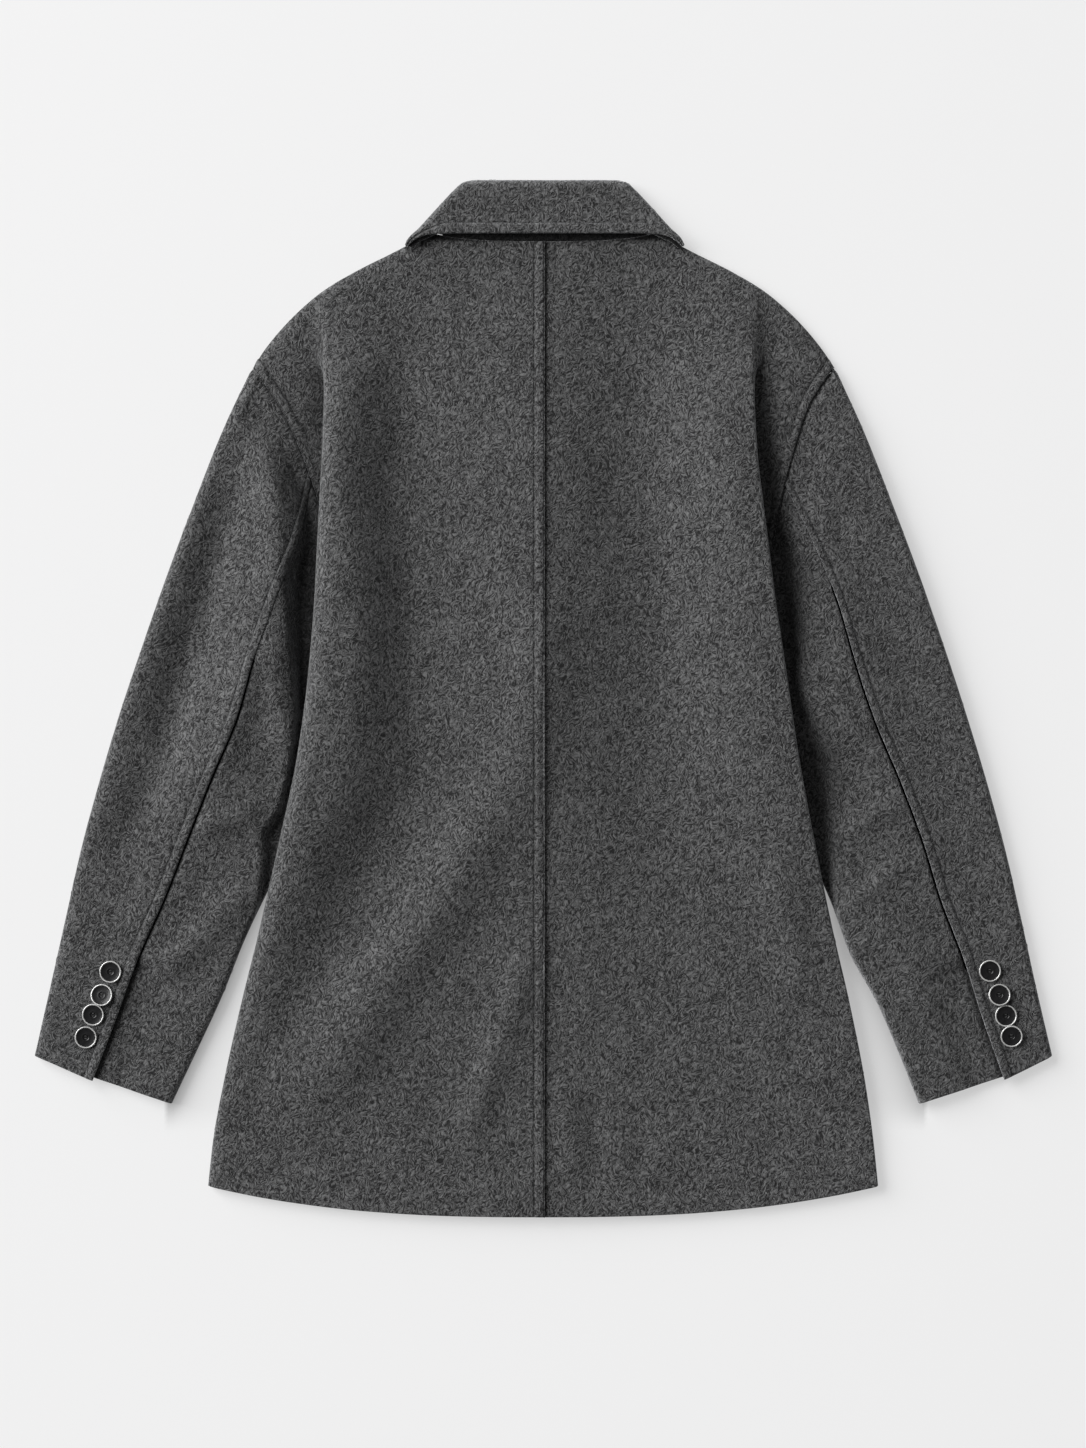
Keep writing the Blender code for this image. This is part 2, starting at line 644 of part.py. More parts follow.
def sleeve_grid(side, under):
    """Outer points of the upper sleeve, or of the under sleeve, and its raised seam."""
    v = SLEEVE_ROWS[:, None]
    outer, seam, inner = sleeve_lines(side, v)
    far = inner if under else outer
    far_share = 2.0 if under else 0.0
    other = outer if under else inner
    width = np.linalg.norm(seam - far, axis=2)
    seam_height, _ = sleeve_height(side, v, seam[..., 0], seam[..., 1], 1.0)
    edge_height, free = sleeve_height(side, v, far[..., 0], far[..., 1], far_share)
    edge_height = np.maximum(edge_height, SLEEVE_FLAT)
    over = 3 + 7 * free if under else 10 + 0 * free
    over = np.minimum(over, 0.4 * width)
    low = np.minimum(edge_height / 2, 4.5)
    if under:
        shares = np.array((0, 0.2, 0.4, 0.55, 0.7, 0.85, 1))
        flat = shares * (width - over)
    else:
        start = BAND_WIDTH + BAND_STEP
        shares = np.array((0.3, 0.55, 0.8, 1))
        flat = np.hstack((0 * width, 0 * width + BAND_WIDTH, 0 * width + start,
                          start + shares * (width - over - start)))
    span = np.hstack((flat, width - over + over * np.cos(ROUND_OVER), width,
                      width - low + low * np.cos(ROUND_UNDER)))
    to_front_seam = np.linalg.norm(outer - inner, axis=2) * FRONT_SEAM_SHARE
    bottom_end = to_front_seam if under else np.linalg.norm(outer - inner, axis=2) - to_front_seam
    bottom_shares = np.array((0.5, 1.0)) if under else np.array((0.33, 0.66, 1.0))
    bottom = low + bottom_shares * (bottom_end - low)

    # On the upper side the points run from the seam to the edge, below they run back.
    lap = VENT_LAP * smooth((v - VENT_FROM - 0.025) / 0.03) if under else 0 * v
    share_out = (span + lap * np.minimum(span / width - 1, 0)) / width
    plan = seam[:, :1] + (far - seam) * share_out[..., None]
    plan_below = far + (other - far) * (bottom / np.linalg.norm(outer - inner, axis=2))[..., None]
    plan = np.concatenate((plan, plan_below), axis=1)
    fade = smooth(1 - v / 0.3)
    plan[..., 0] += armhole_bow(side, plan[:1, :, 1]) * fade
    share = 1 + (1 if under else -1) * share_out
    top, _ = sleeve_height(side, v, plan[:, : span.shape[1], 0], plan[:, : span.shape[1], 1], share)
    if under:
        top = top - VENT_DROP * smooth((v - VENT_FROM) / 0.025) * smooth((45 - span) / 20)
    mid = edge_height / 2
    round_from = flat.shape[1]
    angle = np.concatenate((np.full(round_from, math.pi / 2), ROUND_OVER, (0.0,), ROUND_UNDER))
    z = mid + np.where(angle > 0, (top - mid) * np.sin(angle), mid * np.sin(angle))
    z = np.hstack((z, np.zeros(bottom.shape)))

    # The first rows settle on the armhole seam.
    target = ARMHOLE[side].at("height", plan[..., 1]) * (np.arange(z.shape[1]) < round_from)
    settle = smooth(1 - v / 0.09) * (np.arange(z.shape[1]) < round_from)
    z = z + (target - z) * settle
    if not under:
        z[0, round_from:-3] *= SHOULDER_MID / mid[0]
    raised = np.zeros(z.shape)
    if not under:
        raised[:, : span.shape[1]] = band(span)
    points = grid(plan[..., 0] * side, plan[..., 1], z)

    # A tight turn along the edge leaves the cloth less room on its inner side.
    thick = np.full(z.shape, WALL)
    thick[:, round_from - 1 : len(angle)] = np.clip(TURN_SHARE * mid * mid / over, TURN_LEAST, WALL)
    return points, raised, thick


# --------------------------------------------------------------------------------- the collar


def collar_lines(t):
    """The fall's free edge and the roll on both sides of the middle, and a column reader."""
    t = np.concatenate((-t[:0:-1], t))
    side = np.sign(t)
    edge_x = COLLAR.at("edge_x", np.abs(t))
    edge_y = FALL_EDGE_Y - FALL_END_DROP * (edge_x / FALL_END_X) ** FALL_CURVE
    edge = np.stack((CENTRE_X + side * edge_x, edge_y), axis=-1)[None]
    roll_x = COLLAR.at("roll_x", np.abs(t))
    roll = np.stack((CENTRE_X + side * roll_x, COLLAR.at("roll_y", np.abs(t))), axis=-1)[None]
    return edge, roll, lambda name: COLLAR.at(name, np.abs(t))[None]


def collar_run(read, down):
    """Lower side of the collar under its roll, at a share of the way down to the neck seam."""
    return read("base") + (read("base_end") - read("base")) * down


def collar_upper_grid():
    """The collar's outside, round the roll and down inside the neck."""
    edge, roll, read = collar_lines(COLLAR_COLUMNS)
    width = np.linalg.norm(roll - edge, axis=2)
    over = np.minimum(COLLAR_ROUND, 0.45 * width)
    low = np.minimum(COLLAR_ROUND_BELOW, 0.6 * over)
    start = np.minimum(COLLAR_BAND, 0.3 * width)
    step = np.minimum(BAND_STEP, 0.08 * width)
    along = np.vstack((0 * width, start, start + step, (start + step + width - over) / 2, width - over,
                       width - over + over * np.cos(ROUND_OVER)[:, None], width,
                       width - low + low * np.cos(ROUND_UNDER)[:, None]))
    mid = read("base") + COLLAR_MID * (read("top") - read("base"))
    rise = np.concatenate((np.ones(5), np.sin(ROUND_OVER), (0,), np.sin(ROUND_UNDER)))[:, None]
    z = mid + np.where(rise > 0, read("top") - mid, mid - read("base")) * rise
    plan = edge + (roll - edge) * (along / width)[..., None]
    raised = BAND_RAISE * smooth((start + step - along) / step) * (rise > 0.99)

    down = np.array((0.3, 0.65, 1.0))[:, None]
    from_x = plan[-1, :, 0]
    from_y = plan[-1, :, 1]
    seam_y = SHOULDER.at("y", np.abs(from_x - CENTRE_X)) + 2 * SEAM_GAP
    end_y = np.maximum(seam_y, from_y - read("tuck"))
    end_y = np.minimum(end_y, from_y - 1)
    run = grid(from_x[None], from_y + (end_y - from_y) * down, collar_run(read, down))
    points = np.concatenate((np.dstack((plan, z)), run))
    return points, np.vstack((raised, np.zeros(run.shape[:2])))


def collar_under_grid():
    """The collar's lining under the fall, one thickness below it."""
    edge, roll, read = collar_lines(COLLAR_COLUMNS[:UNDER_COLUMNS])
    width = np.linalg.norm(roll - edge, axis=2)
    along = UNDER_INSET + np.array((0, 0.33, 0.66, 1.0))[:, None] * (width - COLLAR_ROUND - 1 - UNDER_INSET)
    plan = edge + (roll - edge) * (along / width)[..., None]
    z = read("top") - PLY + 0 * along
    return np.dstack((plan, z)), None


def collar_stand_grid():
    """The outside of the stand, from the neck seam up into the roll."""
    edge, roll, read = collar_lines(COLLAR_COLUMNS[:STAND_COLUMNS])
    up = np.array((0, 0.16, 0.5, 1.0))[:, None]
    x = edge[..., 0]
    seam_y = SHOULDER.at("y", np.abs(x - CENTRE_X)) + 2 * SEAM_GAP
    top_y = roll[..., 1] - STAND_INSET
    z = collar_run(read, 1 - up) + 2 * PLY
    return grid(x, seam_y + (top_y - seam_y) * up, z), None


COLLAR_MAKERS = {
    "upper": collar_upper_grid,
    "under": collar_under_grid,
    "stand": collar_stand_grid,
}


# -------------------------------------------------------------------------------- the buttons


def button_profile():
    """Half of a button's section: from its middle, over the rim and back below."""
    dish = BUTTON_THICK - BUTTON_DISH
    inside = BUTTON_RADIUS - BUTTON_RIM
    return (
        (0, dish),
        (0.75 * inside, dish),
        (inside, dish + 0.2 * BUTTON_DISH),
        (BUTTON_RADIUS - 0.6 * BUTTON_RIM, BUTTON_THICK),
        (BUTTON_RADIUS - 0.25 * BUTTON_RIM, BUTTON_THICK - 0.15),
        (BUTTON_RADIUS, BUTTON_THICK - 0.9),
        (BUTTON_RADIUS - 0.4, 0.8),
        (BUTTON_FOOT, 0),
        (0, 0),
    )


def turned(name, profile, material, collection):
    """A solid turned about Z from a profile in the XZ plane."""
    mesh = bpy.data.meshes.new(name)
    points = [(x * MM, 0, z * MM) for x, z in profile]
    mesh.from_pydata(points, [(i, i + 1) for i in range(len(points) - 1)], [])
    mesh.materials.append(material)
    obj = bpy.data.objects.new(name, mesh)
    collection.objects.link(obj)
    screw = obj.modifiers.new("turn", "SCREW")
    screw.steps = BUTTON_STEPS
    screw.render_steps = BUTTON_STEPS
    screw.use_merge_vertices = True
    screw.merge_threshold = 1e-5
    screw.use_smooth_shade = False
    return obj


def add_buttons(side, word, sleeve, material, collection):
    """Four buttons standing off the upper sleeve, along the vent."""
    rows = list(zip(*BUTTONS[side].columns.values()))
    for place, (y, x, tilt) in enumerate(reversed(rows), 1):
        above = Vector((x, y, ABOVE_ALL)) * MM
        seen = sleeve.evaluated_get(bpy.context.evaluated_depsgraph_get())
        _, ground, normal, _ = seen.ray_cast(above, Vector((0, 0, -1)))
        button = turned(f"button_{word}_{place}", button_profile(), material, collection)
        turn = Vector((0, 0, 1)).rotation_difference(normal).to_matrix().to_4x4()
        axis = Vector((math.cos(CUFF_TURN), side * math.sin(CUFF_TURN), 0))
        tilted = Matrix.Rotation(math.radians(tilt), 4, axis)
        raise_by = SEAM_GAP + BUTTON_FOOT * math.sin(math.radians(abs(tilt)))
        button.matrix_world = Matrix.Translation(ground + normal * raise_by * MM) @ turn @ tilted


# ---------------------------------------------------------------------------------- building


def mesh_object(name, vertices, faces, material, collection):
    """A closed mesh, from millimetres."""
    mesh = bpy.data.meshes.new(name)
    body = bmesh.new()
    points = [body.verts.new(Vector(vertex) * MM) for vertex in vertices]
    for face in faces:
        body.faces.new([points[i] for i in face])
    bmesh.ops.recalc_face_normals(body, faces=body.faces)
    body.to_mesh(mesh)
    body.free()
    mesh.shade_smooth()
    mesh.set_sharp_from_angle(angle=math.radians(40))
    mesh.materials.append(material)
    obj = bpy.data.objects.new(name, mesh)
    collection.objects.link(obj)
    return obj


def wall(name, outer, material, collection, sign, raised=None, level=None, seams=(), thick=WALL):
    """A wall of cloth: the outer grid, the grid moved in, and the cut edges between them.

    level says how far each point of the first row is at a seam along the outermost edge, where
    the cloth stands upright. seams gives the edges that meet another piece, and their gaps.
    """
    normal = normals(outer, sign)
    if level is not None:
        normal[0, :, 2] *= 1 - level
        normal /= np.linalg.norm(normal, axis=2, keepdims=True)
    for edge, gap in seams:
        pull_back(outer, edge, gap)
        stand_up(normal, outer, edge)
    inner = outer - normal * np.broadcast_to(thick, outer.shape[:2])[..., None]
    if raised is not None:
        outer = outer + normal * raised[..., None]
    rows, columns = outer.shape[:2]
    index = np.arange(rows * columns).reshape(rows, columns)
    lower = index + rows * columns
    faces = []
    for i in range(rows - 1):
        for j in range(columns - 1):
            faces.append((index[i, j], index[i, j + 1], index[i + 1, j + 1], index[i + 1, j]))
            faces.append((lower[i, j], lower[i + 1, j], lower[i + 1, j + 1], lower[i, j + 1]))
    rim = list(index[0]) + list(index[1:, -1]) + list(index[-1, -2::-1]) + list(index[-2:0:-1, 0])
    for a, b in zip(rim, rim[1:] + rim[:1]):
        faces.append((a, a + rows * columns, b + rows * columns, b))
    vertices = np.concatenate((outer.reshape(-1, 3), inner.reshape(-1, 3)))
    return mesh_object(name, vertices, faces, material, collection)


def cloth_material():
    material = bpy.data.materials.new("charcoal wool")
    material.use_nodes = True
    shader = material.node_tree.nodes["Principled BSDF"]
    shader.inputs["Base Color"].default_value = (0.080, 0.081, 0.083, 1)
    shader.inputs["Roughness"].default_value = 0.95
    return material


def button_material():
    material = bpy.data.materials.new("black button")
    material.use_nodes = True
    shader = material.node_tree.nodes["Principled BSDF"]
    shader.inputs["Base Color"].default_value = (0.012, 0.012, 0.013, 1)
    shader.inputs["Roughness"].default_value = 0.25
    return material


def main():
    for old in list(bpy.data.objects):
        bpy.data.objects.remove(old, do_unlink=True)
    coat = bpy.data.collections.new("wrap coat")
    bpy.context.scene.collection.children.link(coat)
    wool = cloth_material()
    black = button_material()
    top = ("first row", HALF_GAP)
    first = ("first column", HALF_GAP)
    last = ("last column", HALF_GAP)
    for side, word in SIDES.items():
        points, raised = back_grid(side)
        seams = (top, first, ("last column", ARMHOLE_GAP))
        wall("back_" + word, points, wool, coat, -side, raised, on_shoulder(points), seams)
        points = front_grid(side)
        wall("front_" + word, points, wool, coat, -side, None, on_shoulder(points), (top, first))
        for under, kind in ((True, "under"), (False, "upper")):
            points, raised, thick = sleeve_grid(side, under)
            sign = side if under else -side
            seams = (("first row", ARMHOLE_GAP), first, last)
            sleeve = wall(f"sleeve_{kind}_{word}", points, wool, coat, sign, raised, None, seams, thick)
        add_buttons(side, word, sleeve, black, coat)
    for name, maker in COLLAR_MAKERS.items():
        points, raised = maker()
        wall("collar_" + name, points, wool, coat, 1, raised)


if __name__ == "__main__":
    main()
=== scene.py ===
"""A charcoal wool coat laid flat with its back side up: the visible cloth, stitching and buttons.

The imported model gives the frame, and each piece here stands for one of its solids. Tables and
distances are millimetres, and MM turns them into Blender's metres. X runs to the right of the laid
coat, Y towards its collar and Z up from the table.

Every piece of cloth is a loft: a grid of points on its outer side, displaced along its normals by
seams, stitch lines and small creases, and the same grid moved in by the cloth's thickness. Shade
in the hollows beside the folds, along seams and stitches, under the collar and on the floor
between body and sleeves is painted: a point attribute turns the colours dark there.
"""

import math

import bmesh
import bpy
import numpy as np
from mathutils import Matrix, Vector


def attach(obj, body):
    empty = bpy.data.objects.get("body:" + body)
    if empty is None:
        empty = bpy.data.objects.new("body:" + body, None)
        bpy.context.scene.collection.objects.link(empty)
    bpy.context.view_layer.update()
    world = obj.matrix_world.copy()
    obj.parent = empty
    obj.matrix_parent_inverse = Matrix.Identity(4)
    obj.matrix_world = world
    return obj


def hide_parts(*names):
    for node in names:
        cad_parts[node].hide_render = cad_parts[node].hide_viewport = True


bl_info = {
    "name": "Laid wool coat",
    "version": (1, 0, 0),
    "blender": (4, 5, 0),
    "location": "3D View > Sidebar > Coat",
    "description": "Builds the visible pieces of a charcoal wool coat laid flat",
    "category": "Object",
}

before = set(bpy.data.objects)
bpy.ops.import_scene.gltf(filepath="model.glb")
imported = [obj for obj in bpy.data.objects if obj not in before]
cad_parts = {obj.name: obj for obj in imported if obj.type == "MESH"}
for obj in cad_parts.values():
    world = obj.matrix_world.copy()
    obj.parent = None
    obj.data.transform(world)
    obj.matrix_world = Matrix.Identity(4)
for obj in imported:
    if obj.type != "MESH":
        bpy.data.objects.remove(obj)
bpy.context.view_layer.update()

MM = 0.001
LEFT, RIGHT = -1, 1
SIDES = {LEFT: "left", RIGHT: "right"}
SEED = 7
# Name of the point attribute that holds painted shade: how far each point's colour goes towards
# black.
PAINTED_SHADE_NAME = "hollow"

# The cloth: gaps at its seams, the band beside a pressed seam, and how edges sink and lap.
HALF_GAP = 0.08
SEAM_GAP = 0.3
ARMHOLE_GAP = 0.12
TIP_GAP = 0.9
GAP_FADES = 6.0
BAND_WIDTH = 8.6
BAND_STEP = 1.2
BAND_START = BAND_WIDTH + BAND_STEP
PILLOW = 0.45
SEAM_LAP = 1.4
SEAM_SINK = 0.5
ARMHOLE_SINK = 1.2
STANDS_UP = 0.75
UPRIGHT_FADES = 2.5
TURN_SHARE = 0.6
TURN_LEAST = 1.1
SHARP_FROM = 55

# Painted shade in the dips along seams and stitches: how dark, and half the width. Below them, the
# painted shade of the collar's stitch line, of its lining under the fall, of the lining's ends
# that peek out below the fall, and of the stand.
SEAM_LINE = (0.8, 1.0)
STITCH_LINE = (0.6, 0.9)
MIDDLE_SEAM_LINE = (0.85, 0.7)
MIDDLE_STITCH_LINE = (0.35, 0.7)
SLEEVE_STITCH_LINE = (0.45, 0.7)
ARMHOLE_LINE = {LEFT: (0.9, 2.4), RIGHT: (0.9, 1.4)}
COLLAR_STITCH_SHADE = 0.45
UNDER_COLLAR_SHADE = 0.4
UNDER_PEEK_SHADE = 0.5
STAND_SHADE = 0.8

# The back.
CENTRE_X = 1.0
NECK_Y = 374.7
TIP_Y = 272.7
TIP_X = 238.5
HEM_Y = -425.2
HEM_CORNER_Y = -400.0
HEM_CURVE = 2.6
NECK_X = 93.0
SHOULDER_MID = 4.5
FRONT_SHOULDER_MID = 3.9
SHOULDER_ROUND = 9.0
CREASE_RADIUS = 0.8
CREASE_DEPTH = {LEFT: 10.0, RIGHT: 14.0}
CREASE_TAIL = 1.5
CREASE_OPENS = 26.0
FOLD_STARTS_Y = 285.0
FOLD_FULL_Y = 236.0

# The sleeves.
SLEEVE_FLAT = 5.2
SLEEVE_TOP = (TIP_Y, -293.2)
SLEEVE_SEAM = {LEFT: (178.4, -311.2), RIGHT: (175.1, -310.4)}
SLEEVE_INNER = {LEFT: (110.0, -332.5), RIGHT: (80.0, -332.5)}
EDGE_ROUND = {LEFT: (10.0, 5.0), RIGHT: (5.0, 3.5)}
FRONT_SEAM_SHARE = 0.25
VENT_FROM = 0.79
VENT_LAP = 11.0
VENT_DROP = 2.6
VENT_LIFT = 0.9
VENT_HANG = 2.6

# The fronts.
PLY = 2.5
WRAP = 75.0
WRAP_STEP = 9.0
WRAP_CLEAR = 8.0
WRAP_EARLY = 24.0
BREAK_Y = 190.0
UNDERARM_NOTCH = 5.5

# The collar.
FALL_EDGE_Y = 380.9
FALL_END_X = 112.0
FALL_END_DROP = 10.4
FALL_LIFT = 2.2
# How far below the collar's free edge the painted shadow on the back reaches; less at the ends.
FALL_SHADE = 7.5
FALL_CURVE = 13
COLLAR_ROUND = 8.0
COLLAR_ROUND_BELOW = 5.0
COLLAR_MID = 0.42
COLLAR_BAND = 8.9
UNDER_INSET = 0.8
UNDER_PEEK = 4.2
UNDER_END = 1.0
STAND_INSET = 9.0
STAND_END = 0.7
STAND_SINK = 3.0

# The floor: its rows and columns, how far it lies below the coat, and the painted soft shadow
# between body and sleeve (beside the sleeve, how far that reaches, and everywhere).
FLOOR_X = np.concatenate(((-12000,), np.arange(-348, 349, 4), (12000,)))
FLOOR_Y = np.concatenate(((-12000,), np.arange(-420, -119, 5), (12000,)))
FLOOR_LOW = -0.2
GAP_SHADE = {LEFT: (0.4, 7.0, 0.06), RIGHT: (0.38, 16.0, 0.05)}

# The light and the camera. The walls' top and foot are the Z of directions towards them.
KEY_LIGHT = {"azimuth": 150, "elevation": 28, "distance": 18.0, "size": 15.0}
WALL_TOP, WALL_FOOT = 0.2, 0.12
CAMERA_X, CAMERA_Y, FOCUS_Z = -0.41, -20.9, 8.0
SENSOR_WIDTH = 36.0

# The buttons.
BUTTON_FOOT = 5.4
BUTTON_STEPS = 72
BUTTON_HOLE = 0.55
BUTTON_HOLE_OUT = 1.05
BUTTON_THREAD = 0.2
CUFF_TURN = math.radians(-18)
ABOVE_ALL = 60.0


def smooth(share):
    """0 to 1 with level ends."""
    share = np.clip(share, 0.0, 1.0)
    return share * share * (3.0 - 2.0 * share)


class Table:
    """Rows of numbers under named columns. A column is read at any place along the first one."""

    def __init__(self, names, text):
        # Line ends and semicolons part the rows for a reader only.
        names = names.split()
        rows = np.array(text.replace(";", " ").split(), float).reshape(-1, len(names))
        rows = rows[rows[:, 0].argsort()]
        self.place = rows[:, 0]
        self.columns = dict(zip(names, rows.T))

    def at(self, name, place):
        """A cubic through the column that never overshoots its rows."""
        value = self.columns[name]
        step = np.diff(self.place)
        rise = np.diff(value) / step
        both = rise[:-1] * rise[1:]
        total = np.where(both > 0, rise[:-1] + rise[1:], 1.0)
        inner = np.where(both > 0, 2.0 * both / total, 0.0)
        slope = np.concatenate([rise[:1], inner, rise[-1:]])
        place = np.clip(place, self.place[0], self.place[-1])
        i = np.clip(np.searchsorted(self.place, place) - 1, 0, len(step) - 1)
        t = (place - self.place[i]) / step[i]
        start = value[i] * (1 + 2 * t) * (1 - t) ** 2 + slope[i] * step[i] * t * (1 - t) ** 2
        end = value[i + 1] * t * t * (3 - 2 * t) - slope[i + 1] * step[i] * t * t * (1 - t)
        return start + end


# The back's upper edge: neck seam, side of the neck at NECK_X, shoulder line to the sleeve.
SHOULDER = Table("x y", """
        0 374.7;    40 375.4;    70 377.6;    86 380.4
       93   382;   105 375.6;   123   366;   152 351.5
      180   335;   200 318.5;   216   302;   229   286
    238.5 272.7""")

# The body at each Y: half width to its rounded edge, height of the fold along that edge, of the
# trough beside it and of the dip outside it, and how far the edge's underside is off the table.
BODY = {
    LEFT: Table("y edge crest trough dip under", """
         380   180    8    8   8   8
         335   180  9.5    8 8.4   8
         302   180   13  8.5   8   8
         261 179.5   24  9.5   7 8.4
         212 180.8   30   11 6.4   8
         146 184.1   32   12   6 7.8
         110 185.9 32.5 12.5 5.4 8.8
          95 186.6 32.5 12.5 5.4 8.8
          78 187.6 32.5 12.5 5.4 5.8
          15 193.1 31.5   13 5.4 5.6
         -50 202.1 29.5 12.5 5.4 5.6
        -116 216.1   26   11 5.4 5.6
        -150 223.8 23.5   10 5.4 5.6
        -200 235.4 18.5  9.5 5.4   0
        -247 247.2 13.5  9.5 5.4   0
        -313   262 10.5   10 5.4   0
        -362   271  9.5  9.5 5.4   0
        -399 275.1    9  9.5 5.4   0"""),
    RIGHT: Table("y edge crest trough dip under", """
         380   173    8    8   8   8
         335   173  9.5  7.5 8.2   8
         302   173   13  7.5   8   8
         261 172.6   20    8   7 8.4
         212 174.3   25    9 6.4   8
         146 181.6   27   10   6 7.6
         110 186.1   27 10.5 5.6 7.8
          80 189.8   27 10.5 5.4 8.8
          64 192.3   27 10.5 5.4 8.8
          48 194.8 26.5 10.5 5.4 5.8
          15 199.7   26   11 5.4 5.6
         -50 209.5   24   11 5.4 5.6
        -116 221.8   20 10.5 5.4 5.6
        -145 227.6 17.5 10.5 5.4 5.6
        -195 238.4   13   10 5.4   0
        -247 250.5 11.5   10 5.4   0
        -313 263.6 10.5   10 5.4   0
        -362 270.6  9.5  9.5 5.4   0
        -399 274.5    9    9 5.4   0"""),
}

# Where the fold's crest and the trough beside it lie, as shares of the half width.
FOLD_AT = {
    LEFT: Table("y crest trough", """
         260 0.93 0.62;  170 0.92 0.62;  110 0.87 0.57;    0 0.82 0.54
         -60 0.83  0.5; -100 0.88 0.57; -150 0.93 0.64; -200 0.94 0.71
        -250 0.95 0.79; -310 0.96 0.85"""),
    RIGHT: Table("y crest trough", """
         300 0.93 0.46; -400 0.93 0.46"""),
}

# The back's height along the middle.
MIDDLE = Table("y height", """
     375    8;  335  9.5;  261   16;  146   22
      15   23; -116   18; -250 13.5; -399 10.5""")

# The hollow beside the body's fold: how dark its painted shade is, and how far out from the fold
# it reaches.
HOLLOW = {
    LEFT: Table("y dark reach", """
         310    0  8;  285  0.5 14;  240  0.6 20;  215 0.35 34
         185  0.3 36;  163  0.7 22;  135 0.75 20;  100  0.8 32
          70 0.85 28;   40  0.9 22;   10  0.7 13;  -20  0.3  6
         -50  0.3  5;  -88 0.05  6; -102 0.55 14; -112  0.7 20
        -130 0.55 12; -155  0.4  8; -180    0  5"""),
    RIGHT: Table("y dark reach", """
         310    0 10;  285 0.35 12;  240  0.6 18;  220 0.65 18
         190 0.75 24;  150 0.75 22;  120  0.8 32;  100 0.75 36
          70 0.85 30;   40 0.85 23;   10  0.8 14;  -20  0.6 26
         -50 0.75 40;  -80  0.8 33; -110 0.75 24; -140  0.7 15
        -165 0.35  8; -190    0  5"""),
}

# The armhole seam on the upper side, from the shoulder tip to the underarm below the body's fold.
ARMHOLE = {
    LEFT: Table("y x height", """
        272.7 238.5 4.5;   268 235.2 7.6;   258 228.9 8.8; 237.4 215.1 8.4
        204.6   200 7.4; 177.5   190 6.8; 160.3 184.3 6.4;   135   177   6
          110   170 5.4"""),
    RIGHT: Table("y x height", """
        272.7 238.5  4.5;   266 234.8  7.6;   253 225.4  9.6; 236.6 216.4 10.4
        202.1 205.1   10; 173.4 197.5    9; 147.2 192.5  7.4; 121.8 187.5  6.2
          100   182  5.6;    80   176  5.4"""),
}

# The sleeves, from armhole (0) to cuff (1): half widths of the outer edge, back seam and inner
# edge from the coat's middle, and heights near the outer edge, between, at the seam and inside.
SLEEVE = {
    LEFT: Table("v outer seam inner roll hollow ridge slope", """
          0 238.5 191.9   170    8   10  9.5    6
        0.1 264.7 202.1   169   12   16   15   12
        0.2 286.9 219.5   170   13   15   19   15
        0.3 308.1 236.4   175 13.5   13   20   16
        0.4 327.9 250.5   186   13 12.5   19   15
        0.5 346.9 271.5 203.5 12.5   12 17.5   14
        0.6 363.9 290.9   225   12 11.5 15.5 12.5
        0.7 379.2 309.9 245.8   11   11 13.5 11.5
        0.8 391.9 331.5 263.5 10.5 10.5   12   11
        0.9 404.6 349.2   284   10   10   11   10
          1 417.4 367.8   305  9.5  9.5 10.5  9.5"""),
    RIGHT: Table("v outer seam inner roll hollow ridge slope", """
          0 238.5 198.8   176    8   10  9.5    6
        0.1   264 221.9 174.5   12   14   14   11
        0.2 286.2   241   176   13 14.5 16.5   14
        0.3 307.5 254.8   184 13.5   14 17.5   15
        0.4 327.3   271   199   13 13.5   17   14
        0.5 345.9 291.5 217.5 12.5 12.5 15.5   13
        0.6 363.1 309.8   236   12   12   14   13
        0.7 378.6 324.9   251   11   11   12   14
        0.8 391.7 343.4 273.5 10.5 10.5 10.5   14
        0.9 404.1 358.8 291.5   10   10   10 12.5
          1 417.3   376 307.9  9.5  9.5  9.5   11"""),
}

# The collar from its middle (0) to its end (1): half widths of the fall's free edge and of the
# roll, Y of the roll, height of the top and of the lower side at the roll and at its far end, and
# how far it tucks in below.
COLLAR = Table("t edge_x roll_x roll_y top base base_end tuck", """
       0   0     0 425.2   13   0   3  60
    0.16  20    22 425.3   13   0   3  60
    0.32  40    42 425.3   13   0   3  60
    0.47  56    58 425.2   13   0   3  60
    0.53  65  66.5 423.4   13   0   3  60
     0.6  74    74 417.4   13   0   3  60
     0.7  84  83.5 407.5 13.1 0.8   3  27
     0.8  94  93.6 396.3 13.4   3 3.2  12
     0.9 103 103.4 385.3 13.9 6.5   7   7
    0.97 109 111.4 377.5 14.3   9   9   5
       1 112 114.8 371.3 14.6 9.4 9.4 3.5""")

# The buttons of each sleeve, from the top of the vent down: middle, and the turn in degrees that
# lifts an edge over the next button's rim.
BUTTONS = {
    LEFT: Table("y x tilt", """
        -223.9 -354.5   0; -243.2 -361.5 -10;   -259 -368.8   0; -277.5 -374.8   3"""),
    RIGHT: Table("y x tilt", """
          -223 365.6   0;   -243 373.3 -10; -259.9 378.7   0; -276.3 383.3  10"""),
}

